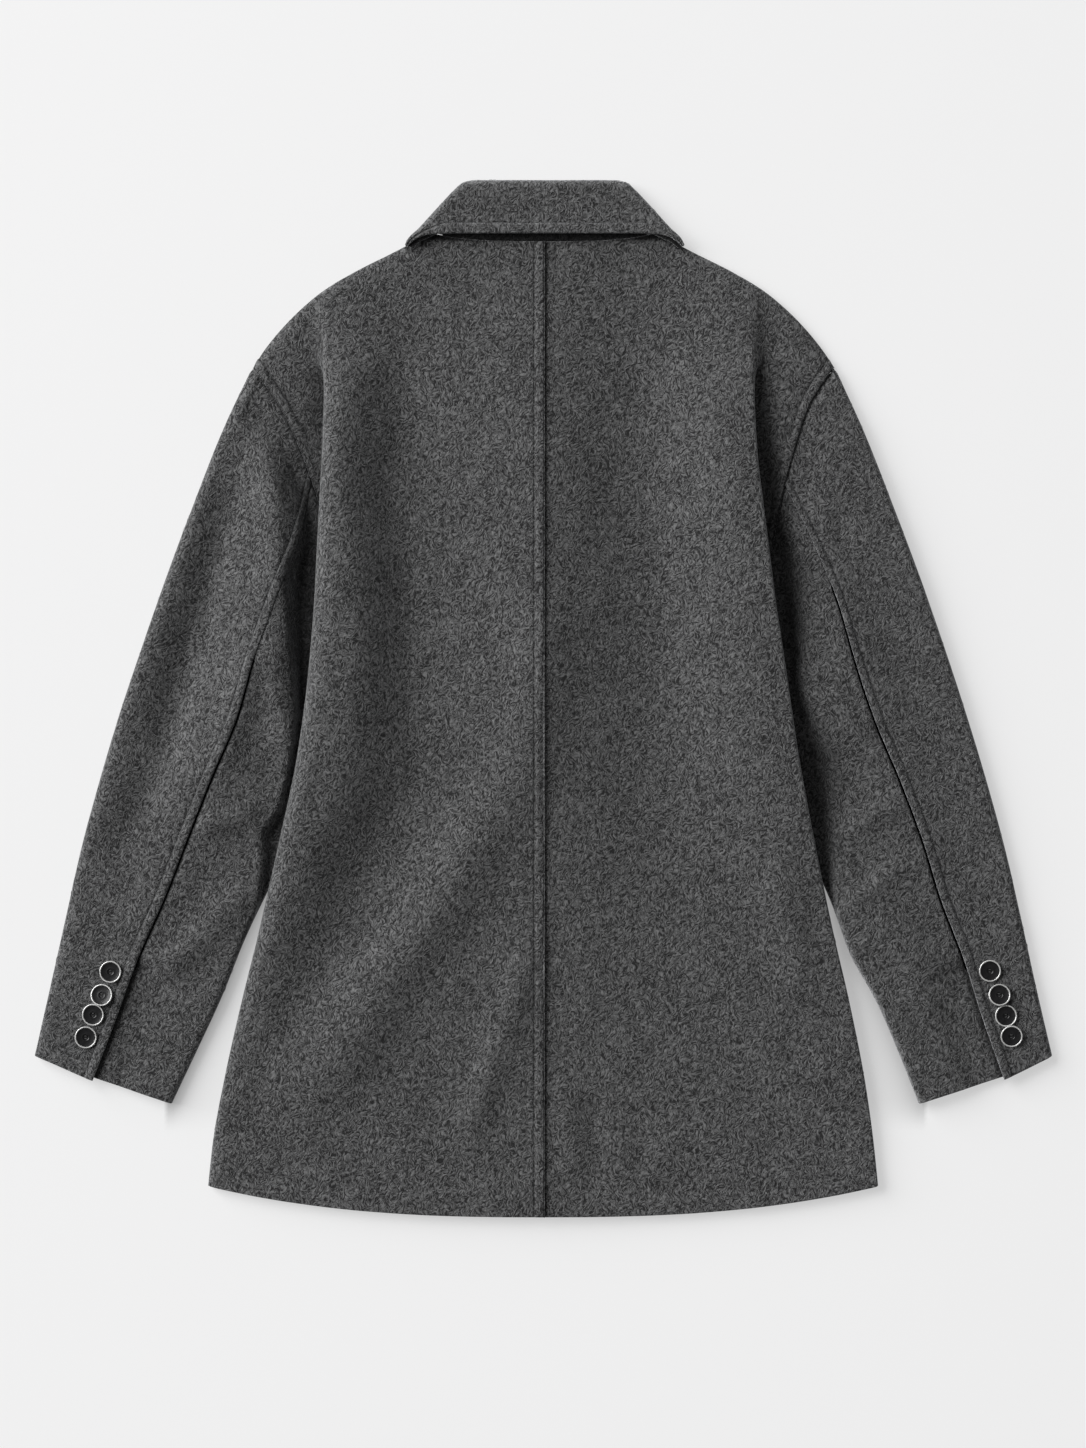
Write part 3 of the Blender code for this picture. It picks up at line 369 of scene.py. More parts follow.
# Soft folds: a ridge, or with a negative height a trough, along a line.
FOLD_COLUMNS = "from_x from_y to_x to_y width height"
BODY_FOLDS = (
    (4, 90, -16, -80, 22, 4.0),
    (-18, -60, -205, -350, 29, 9.0),
    (-6, -190, -66, -372, 14, 4.0),
    (186, -130, 214, -260, 15, 2.5),
    (16, -312, 27, -398, 8, 1.4),
    (42, -322, 44, -396, 8, -1.5),
    (79, -332, 82, -392, 11, -1.2),
    (200, -258, 206, -305, 11, -1.2),
)
SLEEVE_FOLDS = (
    (-222, 215, -216, 60, 15, 6.5),
    (-230, 60, -268, -60, 14, 4.0),
    (-243, 208, -324, -80, 17, -7.5),
    (-318, -60, -352, -140, 14, -3.0),
    (-221, 60, -208, -60, 13, 6.0),
    (-232, -148, -318, -232, 14, 4.0),
    (-288, -108, -226, -90, 10, 3.0),
    (232, 8, 270, -32, 10, 2.6),
    (244, -108, 300, -84, 10, 2.6),
    (247, -170, 294, -140, 9, 2.4),
    (240, 154, 248, 118, 9, -2.0),
)

# Where the points of each stretch lie: distances from a seam, shares of a stretch, or angles of a
# rounded edge.
NEAR_SEAM = np.array((0, 0.2, 0.5, 0.9, 1.5, 2.6, 4.2, 6.0, 7.3, 8.0, 8.6, 9.2, 9.8))
STITCH_COLUMN = 10
BACK_ROWS = np.concatenate((
    (0, 0.0003, 0.0006, 0.001, 0.0014, 0.002, 0.003, 0.004, 0.005, 0.0065, 0.008, 0.0095),
    (0.011, 0.013, 0.015, 0.0175, 0.02),
    np.linspace(0.0228, 0.9965, 300),
    (0.998, 0.9988, 0.9995, 1.0),
))
BACK_SPREAD = np.linspace(0, 1, 85)[1:]
ROUND_OVER = np.radians(np.linspace(82, 7, 11))
ROUND_UNDER = np.radians(np.linspace(-9, -90, 10))
CREASE_RUN = np.array((0.25, 0.5, 0.75, 1.0))
CREASE_SPREAD = np.array((0.2, 0.4, 0.6, 0.8, 1.0))
STRIP_START = np.array((0.2, 0.4, 0.6, 0.8, 1.0))
STRIP_END = ((BAND_START - NEAR_SEAM[::-1]) / BAND_START)[1:]
SLEEVE_ROWS = np.concatenate((
    (0, 0.0003, 0.0008, 0.0015, 0.0025, 0.004, 0.006, 0.008),
    np.linspace(0.0105, 0.9965, 250),
    (0.998, 0.9988, 0.9995, 1.0),
))
FRONT_ROWS = np.concatenate((
    (0, 0.0006, 0.0014, 0.003, 0.005, 0.008, 0.011, 0.015, 0.02),
    np.linspace(0.026, 0.9965, 150),
    (0.998, 0.999, 1.0),
))
COLLAR_SPREAD = np.concatenate((
    np.linspace(0, 0.45, 30)[:-1],
    np.linspace(0.45, 0.7, 26)[:-1],
    np.linspace(0.7, 0.97, 26)[:-1],
    (0.97, 0.978, 0.985, 0.991, 0.9955, 0.9985, 1.0),
))

# Long soft waves that the cloth always has: length, height and direction in degrees.
WAVES = ((61, 0.10, 20), (43, 0.09, 130), (37, 0.08, 75), (29, 0.07, 165), (23, 0.06, 40),
         (17, 0.05, 105))

# Length and width of the fibres that the wool's material shows.
STROKE = (4.8, 1.3, 1.3)

# Stray fibres: the share of them on each piece, and how thick one is.
FIBRE_SHARES = {
    "back_left": 0.3, "back_right": 0.3, "sleeve_upper_left": 0.13, "sleeve_upper_right": 0.1,
    "sleeve_under_left": 0.07, "sleeve_under_right": 0.07, "collar_upper": 0.03,
}
FIBRE_RADIUS = (0.10, 0.19)

# Where they lie: fewer on cells of the mesh below this area, none where the painted shade is
# darker than this.
FIBRE_CELL = 8.0
FIBRE_DARK = 0.25

# Points, normals and painted shade of each piece of cloth, once it is made.
CLOTH = {}


# --------------------------------------------------------------------------- settings of the coat


class ClothSettings(bpy.types.PropertyGroup):
    """Sizes of the cloth and of its stitching."""

    thickness: bpy.props.FloatProperty(
        name="Cloth thickness", description="Thickness of the wool cloth", default=0.0022,
        min=0.001, max=0.003, unit="LENGTH")
    band_height: bpy.props.FloatProperty(
        name="Pressed seam height", description="How far cloth over a seam allowance stands out",
        default=0.0006, min=0.0, max=0.002, unit="LENGTH")
    stitch_length: bpy.props.FloatProperty(
        name="Stitch length", description="Length of one topstitch", default=0.0030,
        min=0.001, max=0.008, unit="LENGTH")
    stitch_gap: bpy.props.FloatProperty(
        name="Stitch gap", description="Cloth between two topstitches", default=0.0008,
        min=0.0002, max=0.004, unit="LENGTH")
    thread_radius: bpy.props.FloatProperty(
        name="Thread radius", description="Half the sewing thread's thickness", default=0.00024,
        min=0.0001, max=0.001, unit="LENGTH")
    stitch_sink: bpy.props.FloatProperty(
        name="Stitch sink", description="How deep a line of topstitches pulls the cloth in",
        default=0.0011, min=0.0, max=0.002, unit="LENGTH")
    fibre_count: bpy.props.IntProperty(
        name="Stray fibres", description="Number of loose fibres on the cloth", default=7000,
        min=0, max=12000)


class FinishSettings(bpy.types.PropertyGroup):
    """Colours of the coat."""

    wool_ground: bpy.props.FloatVectorProperty(
        name="Wool ground", description="Dark of the wool between the raised fibres",
        default=(0.016, 0.016, 0.0163), subtype="COLOR", size=3, min=0, max=1)
    wool_fibre: bpy.props.FloatVectorProperty(
        name="Wool fibre", description="Light of the raised fibres",
        default=(0.16, 0.1607, 0.162), subtype="COLOR", size=3, min=0, max=1)
    thread: bpy.props.FloatVectorProperty(
        name="Thread", description="Colour of the sewing thread",
        default=(0.035, 0.035, 0.036), subtype="COLOR", size=3, min=0, max=1)
    button: bpy.props.FloatVectorProperty(
        name="Button", description="Colour of the buttons' faces",
        default=(0.006, 0.006, 0.0065), subtype="COLOR", size=3, min=0, max=1)
    button_rim: bpy.props.FloatVectorProperty(
        name="Button rim", description="Colour of the buttons' metal rims",
        default=(0.66, 0.66, 0.65), subtype="COLOR", size=3, min=0, max=1)


class StageSettings(bpy.types.PropertyGroup):
    """Floor, light and camera."""

    floor: bpy.props.FloatVectorProperty(
        name="Floor", description="Colour of the floor", default=(0.36, 0.36, 0.362),
        subtype="COLOR", size=3, min=0, max=1)
    glow: bpy.props.FloatProperty(
        name="Floor glow", description="Light that comes through the floor, as from a light table",
        default=0.52, min=0.0, max=1.0)
    key: bpy.props.FloatProperty(
        name="Key light", description="Power of the soft light from the upper left",
        default=6200.0, min=0.0, unit="POWER")
    fill: bpy.props.FloatProperty(
        name="Fill light", description="Strength of the light from all round", default=0.18,
        min=0.0)
    walls: bpy.props.FloatProperty(
        name="Walls", description="Brightness of the walls near the horizon", default=0.82,
        min=0.0)
    lens: bpy.props.FloatProperty(
        name="Lens", description="Focal length in millimetres", default=120.0, min=20.0,
        unit="CAMERA")
    view_height: bpy.props.FloatProperty(
        name="View height", description="Height of the table that the camera sees",
        default=1.187, min=0.1, unit="LENGTH")


# ------------------------------------------------------------------------------------- materials


class Signal:
    """A shader socket that Python's operators work on."""

    def __init__(self, socket):
        self.socket = socket
        self.tree = socket.id_data

    def feed(self, plug):
        self.tree.links.new(self.socket, plug)

    def math(self, operation, *values, clamp=False):
        node = self.tree.nodes.new("ShaderNodeMath")
        node.operation = operation
        node.use_clamp = clamp
        for plug, value in zip(node.inputs, values):
            plug_in(plug, value)
        return Signal(node.outputs[0])

    def __add__(self, other):
        return self.math("ADD", self, other)

    def __sub__(self, other):
        return self.math("SUBTRACT", self, other)

    def __mul__(self, other):
        return self.math("MULTIPLY", self, other)

    def __rsub__(self, other):
        return self.math("SUBTRACT", other, self)

    __radd__ = __add__
    __rmul__ = __mul__

    def between(self, low, high):
        """0 below low, 1 above high, and straight between them."""
        scale = 1 / (high - low)
        return self.math("MULTIPLY_ADD", self, scale, -low * scale, clamp=True)


def plug_in(plug, value):
    """Links a signal to a socket, or sets the socket's value."""
    if isinstance(value, Signal):
        value.feed(plug)
    else:
        plug.default_value = value


class Finish:
    """A material, and the one way that nodes get into it."""

    def __init__(self, name, **shader):
        self.material = bpy.data.materials.new(name)
        self.material.use_nodes = True
        self.tree = self.material.node_tree
        self.shader = self.tree.nodes["Principled BSDF"]
        self.set(**shader)

    def set(self, **shader):
        """Sets or links the shader's sockets, with _ for a space in a socket's name."""
        for name, value in shader.items():
            socket = name.replace("_", " ").title().replace("Ior", "IOR")
            plug_in(self.shader.inputs[socket], value)

    def node(self, kind, settings=None, sockets=None, output=0):
        node = self.tree.nodes.new("ShaderNode" + kind)
        for name, value in (settings or {}).items():
            setattr(node, name, value)
        for name, value in (sockets or {}).items():
            plug_in(node.inputs[name], value)
        return Signal(node.outputs[output])

    def vector(self, operation, a, b):
        return self.node("VectorMath", {"operation": operation}, {0: a, 1: b})

    def mix(self, factor, a, b):
        """A colour between two, by the factor."""
        settings = {"data_type": "RGBA"}
        return self.node("Mix", settings, {0: factor, 6: a, 7: b}, 2)

    def hollow(self):
        """The painted shade of a point of the mesh: how dark its colour is made."""
        return self.node("Attribute", {"attribute_name": PAINTED_SHADE_NAME}, output="Fac")

    def place(self):
        """Where a point is, in millimetres."""
        where = self.node("TexCoord", output="Object")
        return self.vector("MULTIPLY", where, (1 / MM,) * 3)

    def noise(self, where, scale, detail=0.0, output="Fac"):
        sockets = {"Vector": where, "Scale": scale, "Detail": detail}
        return self.node("TexNoise", None, sockets, output)

    def bump(self, height, distance, strength):
        """Relief from a height of 0 to 1, in millimetres."""
        sockets = {"Height": height, "Distance": distance * MM, "Strength": strength}
        return self.node("Bump", None, sockets, "Normal")


def tint(colour, by=1.0):
    """A setting's colour, lightened or darkened, with alpha."""
    return (*[min(1.0, channel * by) for channel in colour], 1)


def strokes(finish, where, angle):
    """Short fibres that lean at an angle: near 1 on a fibre and near 0 beside it."""
    turned = finish.node("Mapping", {"vector_type": "TEXTURE"}, {
        "Vector": where,
        "Rotation": (0, 0, math.radians(angle)),
        "Scale": STROKE,
    })
    return finish.noise(turned, 1.0, 1.0)


def wool_finish(colours):
    """Napped wool: short curly fibres that lie in changing directions over a darker ground, with
    painted shade.
    """
    finish = Finish("charcoal wool", roughness=0.92, sheen_weight=0.7, sheen_roughness=0.4,
                    sheen_tint=(0.75, 0.76, 0.78, 1.0), specular_ior_level=0.2)
    here = finish.place()
    curl = finish.noise(here, 0.16, 1.0, "Color")
    moved = finish.vector("ADD", here, finish.vector("MULTIPLY", curl, (7.0, 7.0, 7.0)))
    patches = finish.noise(here, 0.13, 1.0, "Color")
    flat_here = finish.node("SeparateColor", None, {"Color": patches}, 0).between(0.5, 0.55)
    back_here = finish.node("SeparateColor", None, {"Color": patches}, 2).between(0.52, 0.57)
    fibre = strokes(finish, moved, 62)
    fibre = fibre + (strokes(finish, moved, 20) - fibre) * flat_here
    fibre = fibre + (strokes(finish, moved, 108) - fibre) * back_here
    fine = finish.noise(here, 1.6, 1.0)
    broad = finish.noise(here, 0.03, 3.0)
    amount = 0.38 + (fibre - 0.5) * 3.2 + (fine - 0.5) * 0.35 + (broad - 0.5) * 0.25
    amount = amount.between(0.0, 1.0)
    colour = finish.mix(amount, tint(colours.wool_ground), tint(colours.wool_fibre))
    # Painted shade: each point's colour goes towards near black by its painted shade attribute.
    colour = finish.mix(finish.hollow(), colour, tint((0.0008, 0.0008, 0.0008)))
    finish.set(base_color=colour, normal=finish.bump(fibre + fine * 0.3, 1.0, 1.0))
    return finish.material


def thread_finish(colours):
    """Twisted dark thread."""
    finish = Finish("sewing thread", roughness=0.8, sheen_weight=0.2)
    twist = finish.noise(finish.place(), 2.4, 1.0)
    finish.set(base_color=finish.mix(twist, tint(colours.thread, 0.6), tint(colours.thread, 1.6)),
               normal=finish.bump(twist, 0.1, 0.8))
    return finish.material


def fibre_finish():
    """Paler loose wool."""
    finish = Finish("loose wool fibre", roughness=0.8, sheen_weight=0.3)
    light = finish.noise(finish.place(), 0.06, 1.0).between(0.3, 0.7)
    finish.set(base_color=finish.mix(light, tint((0.10,) * 3), tint((0.24,) * 3)))
    return finish.material


def button_finish(colours):
    """Moulded black with a faint cloudiness."""
    finish = Finish("black horn", coat_weight=0.12, coat_roughness=0.12, specular_ior_level=0.25)
    here = finish.place()
    cloud = finish.noise(here, 0.35, 3.0)
    scuff = finish.noise(here, 2.5, 3.0)
    finish.set(base_color=finish.mix(cloud.between(0.35, 0.75), tint(colours.button),
                                     tint(colours.button, 2.2)),
               roughness=0.26 + scuff * 0.22, normal=finish.bump(scuff, 0.03, 0.6))
    return finish.material


def rim_finish(colours):
    """Brushed pale metal."""
    finish = Finish("pale metal rim", metallic=0.4)
    brushed = finish.noise(finish.place(), 1.8, 2.0)
    low, high = tint(colours.button_rim, 0.72), tint(colours.button_rim, 1.15)
    finish.set(base_color=finish.mix(brushed, low, high), roughness=0.2 + brushed * 0.2,
               normal=finish.bump(brushed, 0.02, 0.5))
    return finish.material


def floor_finish(stage):
    """A pale floor that glows evenly, but for a painted shadow between body and sleeves."""
    finish = Finish("pale floor", roughness=0.7, emission_strength=stage.glow)
    grain = finish.noise(finish.place(), 0.05, 3.0)
    plain = finish.mix(grain, tint(stage.floor, 0.99), tint(stage.floor))
    none = (0, 0, 0, 1)
    # Painted shadow: the floor's colour and glow go to black by the painted shade attribute.
    finish.set(base_color=finish.mix(finish.hollow(), plain, none),
               emission_color=finish.mix(finish.hollow(), (1, 1, 1, 1), none))
    return finish.material


def finish_named(name, maker, *settings):
    """A material that several pieces share."""
    return bpy.data.materials.get(name) or maker(*settings)


# ------------------------------------------------------------------------------------ cloth tools


def folds_at(folds, x, y):
    """Sum of the soft folds at a place."""
    height = 0.0
    for row in folds:
        fold = dict(zip(FOLD_COLUMNS.split(), row))
        run = np.array((fold["to_x"] - fold["from_x"], fold["to_y"] - fold["from_y"]), float)
        length = np.hypot(*run)
        run /= length
        beside_x, beside_y = x - fold["from_x"], y - fold["from_y"]
        on_line = (beside_x * run[0] + beside_y * run[1]) / length
        off_line = beside_x * run[1] - beside_y * run[0]
        ends = smooth((on_line + 0.08) / 0.35) * smooth((1.08 - on_line) / 0.35)
        height = height + fold["height"] * ends * np.exp(-((off_line / fold["width"]) ** 2))
    return height


def waves_at(x, y):
    """Slight unevenness of the laid cloth."""
    height = 0.0
    for i, (length, amount, turn) in enumerate(WAVES):
        along = x * math.cos(math.radians(turn)) + y * math.sin(math.radians(turn))
        across = x * math.sin(math.radians(turn)) - y * math.cos(math.radians(turn))
        bend = 6.0 * np.sin(across / (0.7 * length) + i)
        height = height + amount * np.sin(2 * math.pi * (along + bend) / length + 2 * i)
    return height


def grid(x, y, z):
    """Points in rows and columns."""
    x, y, z = np.broadcast_arrays(x, y, z)
    return np.stack((x, y, z), axis=-1).astype(float)


def normals(points, sign):
    """Unit normals of a grid, turned the way that sign gives."""
    down = np.gradient(points, axis=0)
    across = np.gradient(points, axis=1)
    normal = np.cross(across, down) * sign
    return normal / np.maximum(np.linalg.norm(normal, axis=2, keepdims=True), 1e-9)


def reach(points, edge):
    """Distance of every point from one edge of its grid, along the cloth."""
    axis = 0 if "row" in edge else 1
    steps = np.linalg.norm(np.diff(points, axis=axis), axis=2)
    start = np.zeros_like(np.take(steps, [0], axis))
    run = np.concatenate((start, np.cumsum(steps, axis)), axis)
    return np.take(run, [-1], axis) - run if "last" in edge else run


def lines_at(array, edge):
    """One edge of a grid and the line next to it, kept two-dimensional so that they broadcast."""
    first, second = (0, 1) if "first" in edge else (-1, -2)
    axis = 0 if "row" in edge else 1
    return np.take(array, [first], axis), np.take(array, [second], axis)


def pull_back(points, edge, gap):
    """Moves the cloth in near one edge of its grid, to leave a seam's gap."""
    line, beside = lines_at(points, edge)
    step = beside - line
    step /= np.linalg.norm(step, axis=2, keepdims=True)
    near_tip = smooth((np.abs(line[..., :1]) - TIP_X) / 5 + 1.2)
    gap = gap + (TIP_GAP - gap) * near_tip
    fade = np.clip(1 - reach(points, edge) / GAP_FADES, 0, 1)[..., None]
    return points + step * gap * fade


def stand_up(normal, points, edge):
    """Turns the normals near a seam upright, so that the cut edges of both pieces are parallel."""
    line, _ = lines_at(points, edge)
    along = np.gradient(line, axis=1 if "row" in edge else 0)
    along /= np.linalg.norm(along, axis=2, keepdims=True)
    across, _ = lines_at(normal, edge)
    upright = np.array((0, 0, 1.0)) - along[..., 2:] * along
    upright *= np.sign(across[..., 2:]) / np.linalg.norm(upright, axis=2, keepdims=True)
    level = np.abs(across[..., 2:]) > STANDS_UP
    fade = np.clip(1 - reach(points, edge) / UPRIGHT_FADES, 0, 1)[..., None] * level
    normal = normal + (upright - normal) * fade
    return normal / np.linalg.norm(normal, axis=2, keepdims=True)


def band(distance, height):
    """How far cloth over a pressed seam stands out, by the distance from the seam."""
    pillow = np.sin(math.pi * np.clip(distance / BAND_WIDTH, 0, 1))
    return height * smooth((BAND_START - distance) / BAND_STEP) + PILLOW * pillow


def stitch_dip(distance, depth, middle=BAND_WIDTH):
    """How far a line of topstitches pulls the cloth in."""
    return -depth * np.exp(-(((distance - middle) / 0.8) ** 2))


def groove_shade(distance, dark, width):
    """Painted shade of a narrow line in the cloth, where it dips along a seam or stitches."""
    return dark * np.exp(-((distance / width) ** 2))


def fall_edge_y(x):
    """Y of the collar's free edge."""
    return FALL_EDGE_Y - FALL_END_DROP * (np.abs(x) / FALL_END_X) ** FALL_CURVE


def fall_shadow(points):
    """Painted shadow on the cloth just below the collar's free edge."""
    x = points[..., 0] - CENTRE_X
    below = fall_edge_y(np.clip(x, -FALL_END_X, FALL_END_X)) - points[..., 1]
    lip = smooth((reach(points, "first row") - 0.2) / 0.9)
    wide = FALL_SHADE - 3 * smooth((np.abs(x) - 80) / 25)
    return 0.9 * smooth((wide - below) / 4) * smooth((FALL_END_X + 4 - np.abs(x)) / 4) * lip


def fold_hollow_shade(side, points):
    """Painted shade in the hollow beside the body's fold."""
    y = points[..., 1]
    out = side * points[..., 0] - BODY[side].at("edge", y)
    width = HOLLOW[side].at("reach", y)
    near = 0.85 if side == LEFT else 0.4 + 0.6 * smooth(out / 14)
    return HOLLOW[side].at("dark", y) * near * smooth((1.2 * width - out) / (0.8 * width))


def floor_gap_shadow(points):
    """Painted shadow on the floor between the body and the sleeves' inner edges."""
    dark = 0.0
    for side in SIDES:
        x, y = side * points[..., 0], points[..., 1]
        inside = sleeve_inner(side, y) - x
        between = (inside > -6) & (x > BODY[side].at("edge", y) - 6)
        fade = smooth((y - SLEEVE_INNER[side][1] + 25) / 30) * smooth((-120 - y) / 20)
        near, reach_in, far = GAP_SHADE[side]
        dark = dark + between * fade * (far + near * np.exp(-np.clip(inside, 0, None) / reach_in))
    return dark


def rolled_edge(points, edges):
    """How far the outer side drops towards cut and folded edges, each with its own radius."""
    drop = 0.0
    for edge, radius in edges.items():
        inside = np.clip(1 - reach(points, edge) / radius, 0, 1)
        drop = drop - radius * (1 - np.sqrt(1 - inside * inside))
    return drop


def every_other(count):
    """Each second index, and the last one."""
    return sorted({*range(0, count, 2), count - 1})


def quads(index):
    """Faces between the neighbouring rows and columns of a grid of vertex numbers."""
    corners = (index[:-1, :-1], index[:-1, 1:], index[1:, 1:], index[1:, :-1])
    return np.stack(corners, axis=-1).reshape(-1, 4)


def closed_wall(outer, inner):
    """Vertices and faces of a wall whose inner side has half as many rows and columns."""
    rows, columns = outer.shape[:2]
    index = np.arange(rows * columns).reshape(rows, columns)
    kept_rows, kept_columns = every_other(rows), every_other(columns)
    below = np.full((rows, columns), -1)
    count = len(kept_rows) * len(kept_columns)
    below[np.ix_(kept_rows, kept_columns)] = rows * columns + np.arange(count).reshape(
        len(kept_rows), len(kept_columns))
    faces = quads(index).tolist()
    faces += quads(below[np.ix_(kept_rows, kept_columns)])[:, ::-1].tolist()
    rims = (
        (index[0], below[0], kept_columns, 1),
        (index[-1], below[-1], kept_columns, -1),
        (index[:, 0], below[:, 0], kept_rows, -1),
        (index[:, -1], below[:, -1], kept_rows, 1),
    )
    for top, bottom, kept, turn in rims:
        for a, b in zip(kept, kept[1:]):
            face = [int(i) for i in top[a : b + 1]] + [int(bottom[b]), int(bottom[a])]
            faces.append(face[::-turn])
    inside = inner[np.ix_(kept_rows, kept_columns)]
    return np.concatenate((outer.reshape(-1, 3), inside.reshape(-1, 3))), faces


def new_mesh(name, vertices, faces, material):
    """A mesh from millimetres."""
    mesh = bpy.data.meshes.new(name)
    mesh.from_pydata((np.reshape(vertices, (-1, 3)) * MM).tolist(), [], faces)
    mesh.materials.append(material)
    return mesh


def new_piece(name, mesh):
    """A piece that rides on the coat."""
    piece = bpy.data.objects.new(name, mesh)
    bpy.context.scene.collection.objects.link(piece)
    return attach(piece, "root")


def paint_shade(mesh, shade):
    """Writes the painted shade of the first vertices of a mesh. The others stay unshaded."""
    values = np.zeros(len(mesh.vertices), np.float32)
    values[: np.size(shade)] = np.ravel(shade)
    mesh.attributes.new(PAINTED_SHADE_NAME, "FLOAT", "POINT").data.foreach_set("value", values)


def cut_size(points):
    """Width, length and area of the cloth in a grid, in metres."""
    across = np.linalg.norm(np.diff(points, axis=1), axis=2).sum(axis=1).max()
    down = np.linalg.norm(np.diff(points, axis=0), axis=2).sum(axis=0).max()
    sides = np.cross(points[1:, 1:] - points[:-1, :-1], points[1:, :-1] - points[:-1, 1:])
    area = np.linalg.norm(sides, axis=2).sum() / 2
    return (across * MM, down * MM), area * MM * MM


def cloth_piece(node, outer, sign, edges, *, relief=0.0, level=None, seams=(),
                thick=None, shade=0.0):
    """One piece of cloth from its outer grid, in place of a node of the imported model."""
    name = "coat_" + node
    if thick is None:
        thick = bpy.context.scene.coat_cloth.thickness / MM
    normal = normals(outer, sign)
    if level is not None:
        near = np.clip(1 - reach(outer, "first row"), 0, 1)
        normal[..., 2] *= 1 - level * near
        normal /= np.linalg.norm(normal, axis=2, keepdims=True)
    for edge, gap in seams:
        outer = pull_back(outer, edge, gap)
        normal = stand_up(normal, outer, edge)
    flat, area = cut_size(outer)
    inner = outer - normal * np.broadcast_to(thick, outer.shape[:2])[..., None]
    facing_up = smooth(normal[..., 2] * 2)
    relief = relief + waves_at(outer[..., 0], outer[..., 1]) * facing_up
    relief = relief + rolled_edge(outer, edges)
    shown = outer + normal * np.broadcast_to(relief, outer.shape[:2])[..., None]
    # Painted shade of each point, which turns the wool's colour dark.
    shade = np.clip(np.broadcast_to(shade, outer.shape[:2]), 0, 1)
    CLOTH[node] = (shown, normal, shade)

    wool = finish_named("charcoal wool", wool_finish, bpy.context.scene.coat_finish)
    mesh = new_mesh(name, *closed_wall(shown, inner), wool)
    body = bmesh.new()
    body.from_mesh(mesh)
    bmesh.ops.recalc_face_normals(body, faces=body.faces)
    body.to_mesh(mesh)
    body.free()
    mesh.shade_smooth()
    mesh.set_sharp_from_angle(angle=math.radians(SHARP_FROM))
    paint_shade(mesh, shade)
    piece = new_piece(name, mesh)
    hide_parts(node)


# ---------------------------------------------------------------------------------------- the body


def row_y(side, v, x):
    """Y of the back's row v at a distance x from the middle."""
    edge_y = TIP_Y - v * (TIP_Y - HEM_CORNER_Y)
    centre_y = NECK_Y - v * (NECK_Y - HEM_Y)
    reach_x = np.maximum(BODY[side].at("edge", edge_y), ARMHOLE[side].at("x", edge_y))
    reach_x = np.where(edge_y > ARMHOLE[side].place[0], reach_x, BODY[side].at("edge", edge_y))
    share = x / reach_x
    upper = (NECK_Y - SHOULDER.at("y", share * TIP_X)) / (NECK_Y - TIP_Y)
    lower = np.clip(share, 0, None) ** HEM_CURVE
    return centre_y + (edge_y - centre_y) * ((1 - v) * upper + v * lower)


def follow(side, v, x_at):
    """The place (x, y) where row v meets a line that gives x at each y."""
    y = TIP_Y - v * (TIP_Y - HEM_CORNER_Y)
    for _ in range(8):
        x = x_at(y)
        y = row_y(side, v, np.abs(x))
    return x, y


def back_height(side, x, y):
    """Height of the back's upper side, from the middle to the fold along its edge."""
    body = BODY[side]
    share = x / body.at("edge", y)
    middle = MIDDLE.at("height", y)
    trough = body.at("trough", y)
    crest = body.at("crest", y)
    dip_share = FOLD_AT[side].at("trough", y)
    crest_share = FOLD_AT[side].at("crest", y)
    inner = middle + (trough - middle) * smooth(share / dip_share)
    outer = trough + (crest - trough) * smooth((share - dip_share) / (crest_share - dip_share))
    return np.where(share < dip_share, inner, outer) + folds_at(BODY_FOLDS, side * x, y)


def shoulder_round(x, y, height):
    """Rounds a height down to the shoulder line."""
    below = np.clip((SHOULDER.at("y", x) - y) * 0.8, 0, None)
    rise = np.sqrt(1 - (1 - np.clip(below / SHOULDER_ROUND, 0, 1)) ** 2)
    rounded = SHOULDER_MID + (height - SHOULDER_MID) * rise
    return height + (rounded - height) * smooth((x - NECK_X) / 10)


def on_shoulder(points):
    """1 along the first row where it is the shoulder seam, 0 where it is the neck seam."""
    return smooth((np.abs(points[:1, :, 0]) - NECK_X) / 10)


def edge_sizes(side, y):
    """Half width, upper and lower radius, middle height and underside of the body's edge."""
    body = BODY[side]
    crest = body.at("crest", y)
    under = body.at("under", y)
    over = 7 + 0.36 * crest if side == LEFT else 1.2 + 0.03 * crest
    return body.at("edge", y), over, 3.5 + 0.15 * crest, (crest + under) / 2, under


def soft_shares():
    """Where the turning columns of the back lie where its fold is still a soft ridge."""
    over = np.interp(-np.degrees(ROUND_OVER), (-90, -65, -38, -15, 0), (0, 0.25, 0.5, 0.75, 1.0))
    under = np.interp(-np.degrees(ROUND_UNDER), (0, 20, 48, 90), (1.0, 1.3, 1.6, 1.9))
    bends = np.interp(CREASE_SPREAD, (0, 0.35, 0.7, 1.0), (2.2, 2.4, 2.6, 2.8))
    return np.concatenate((over, (1.0,), under, 1.9 + 0.3 * CREASE_RUN, bends))


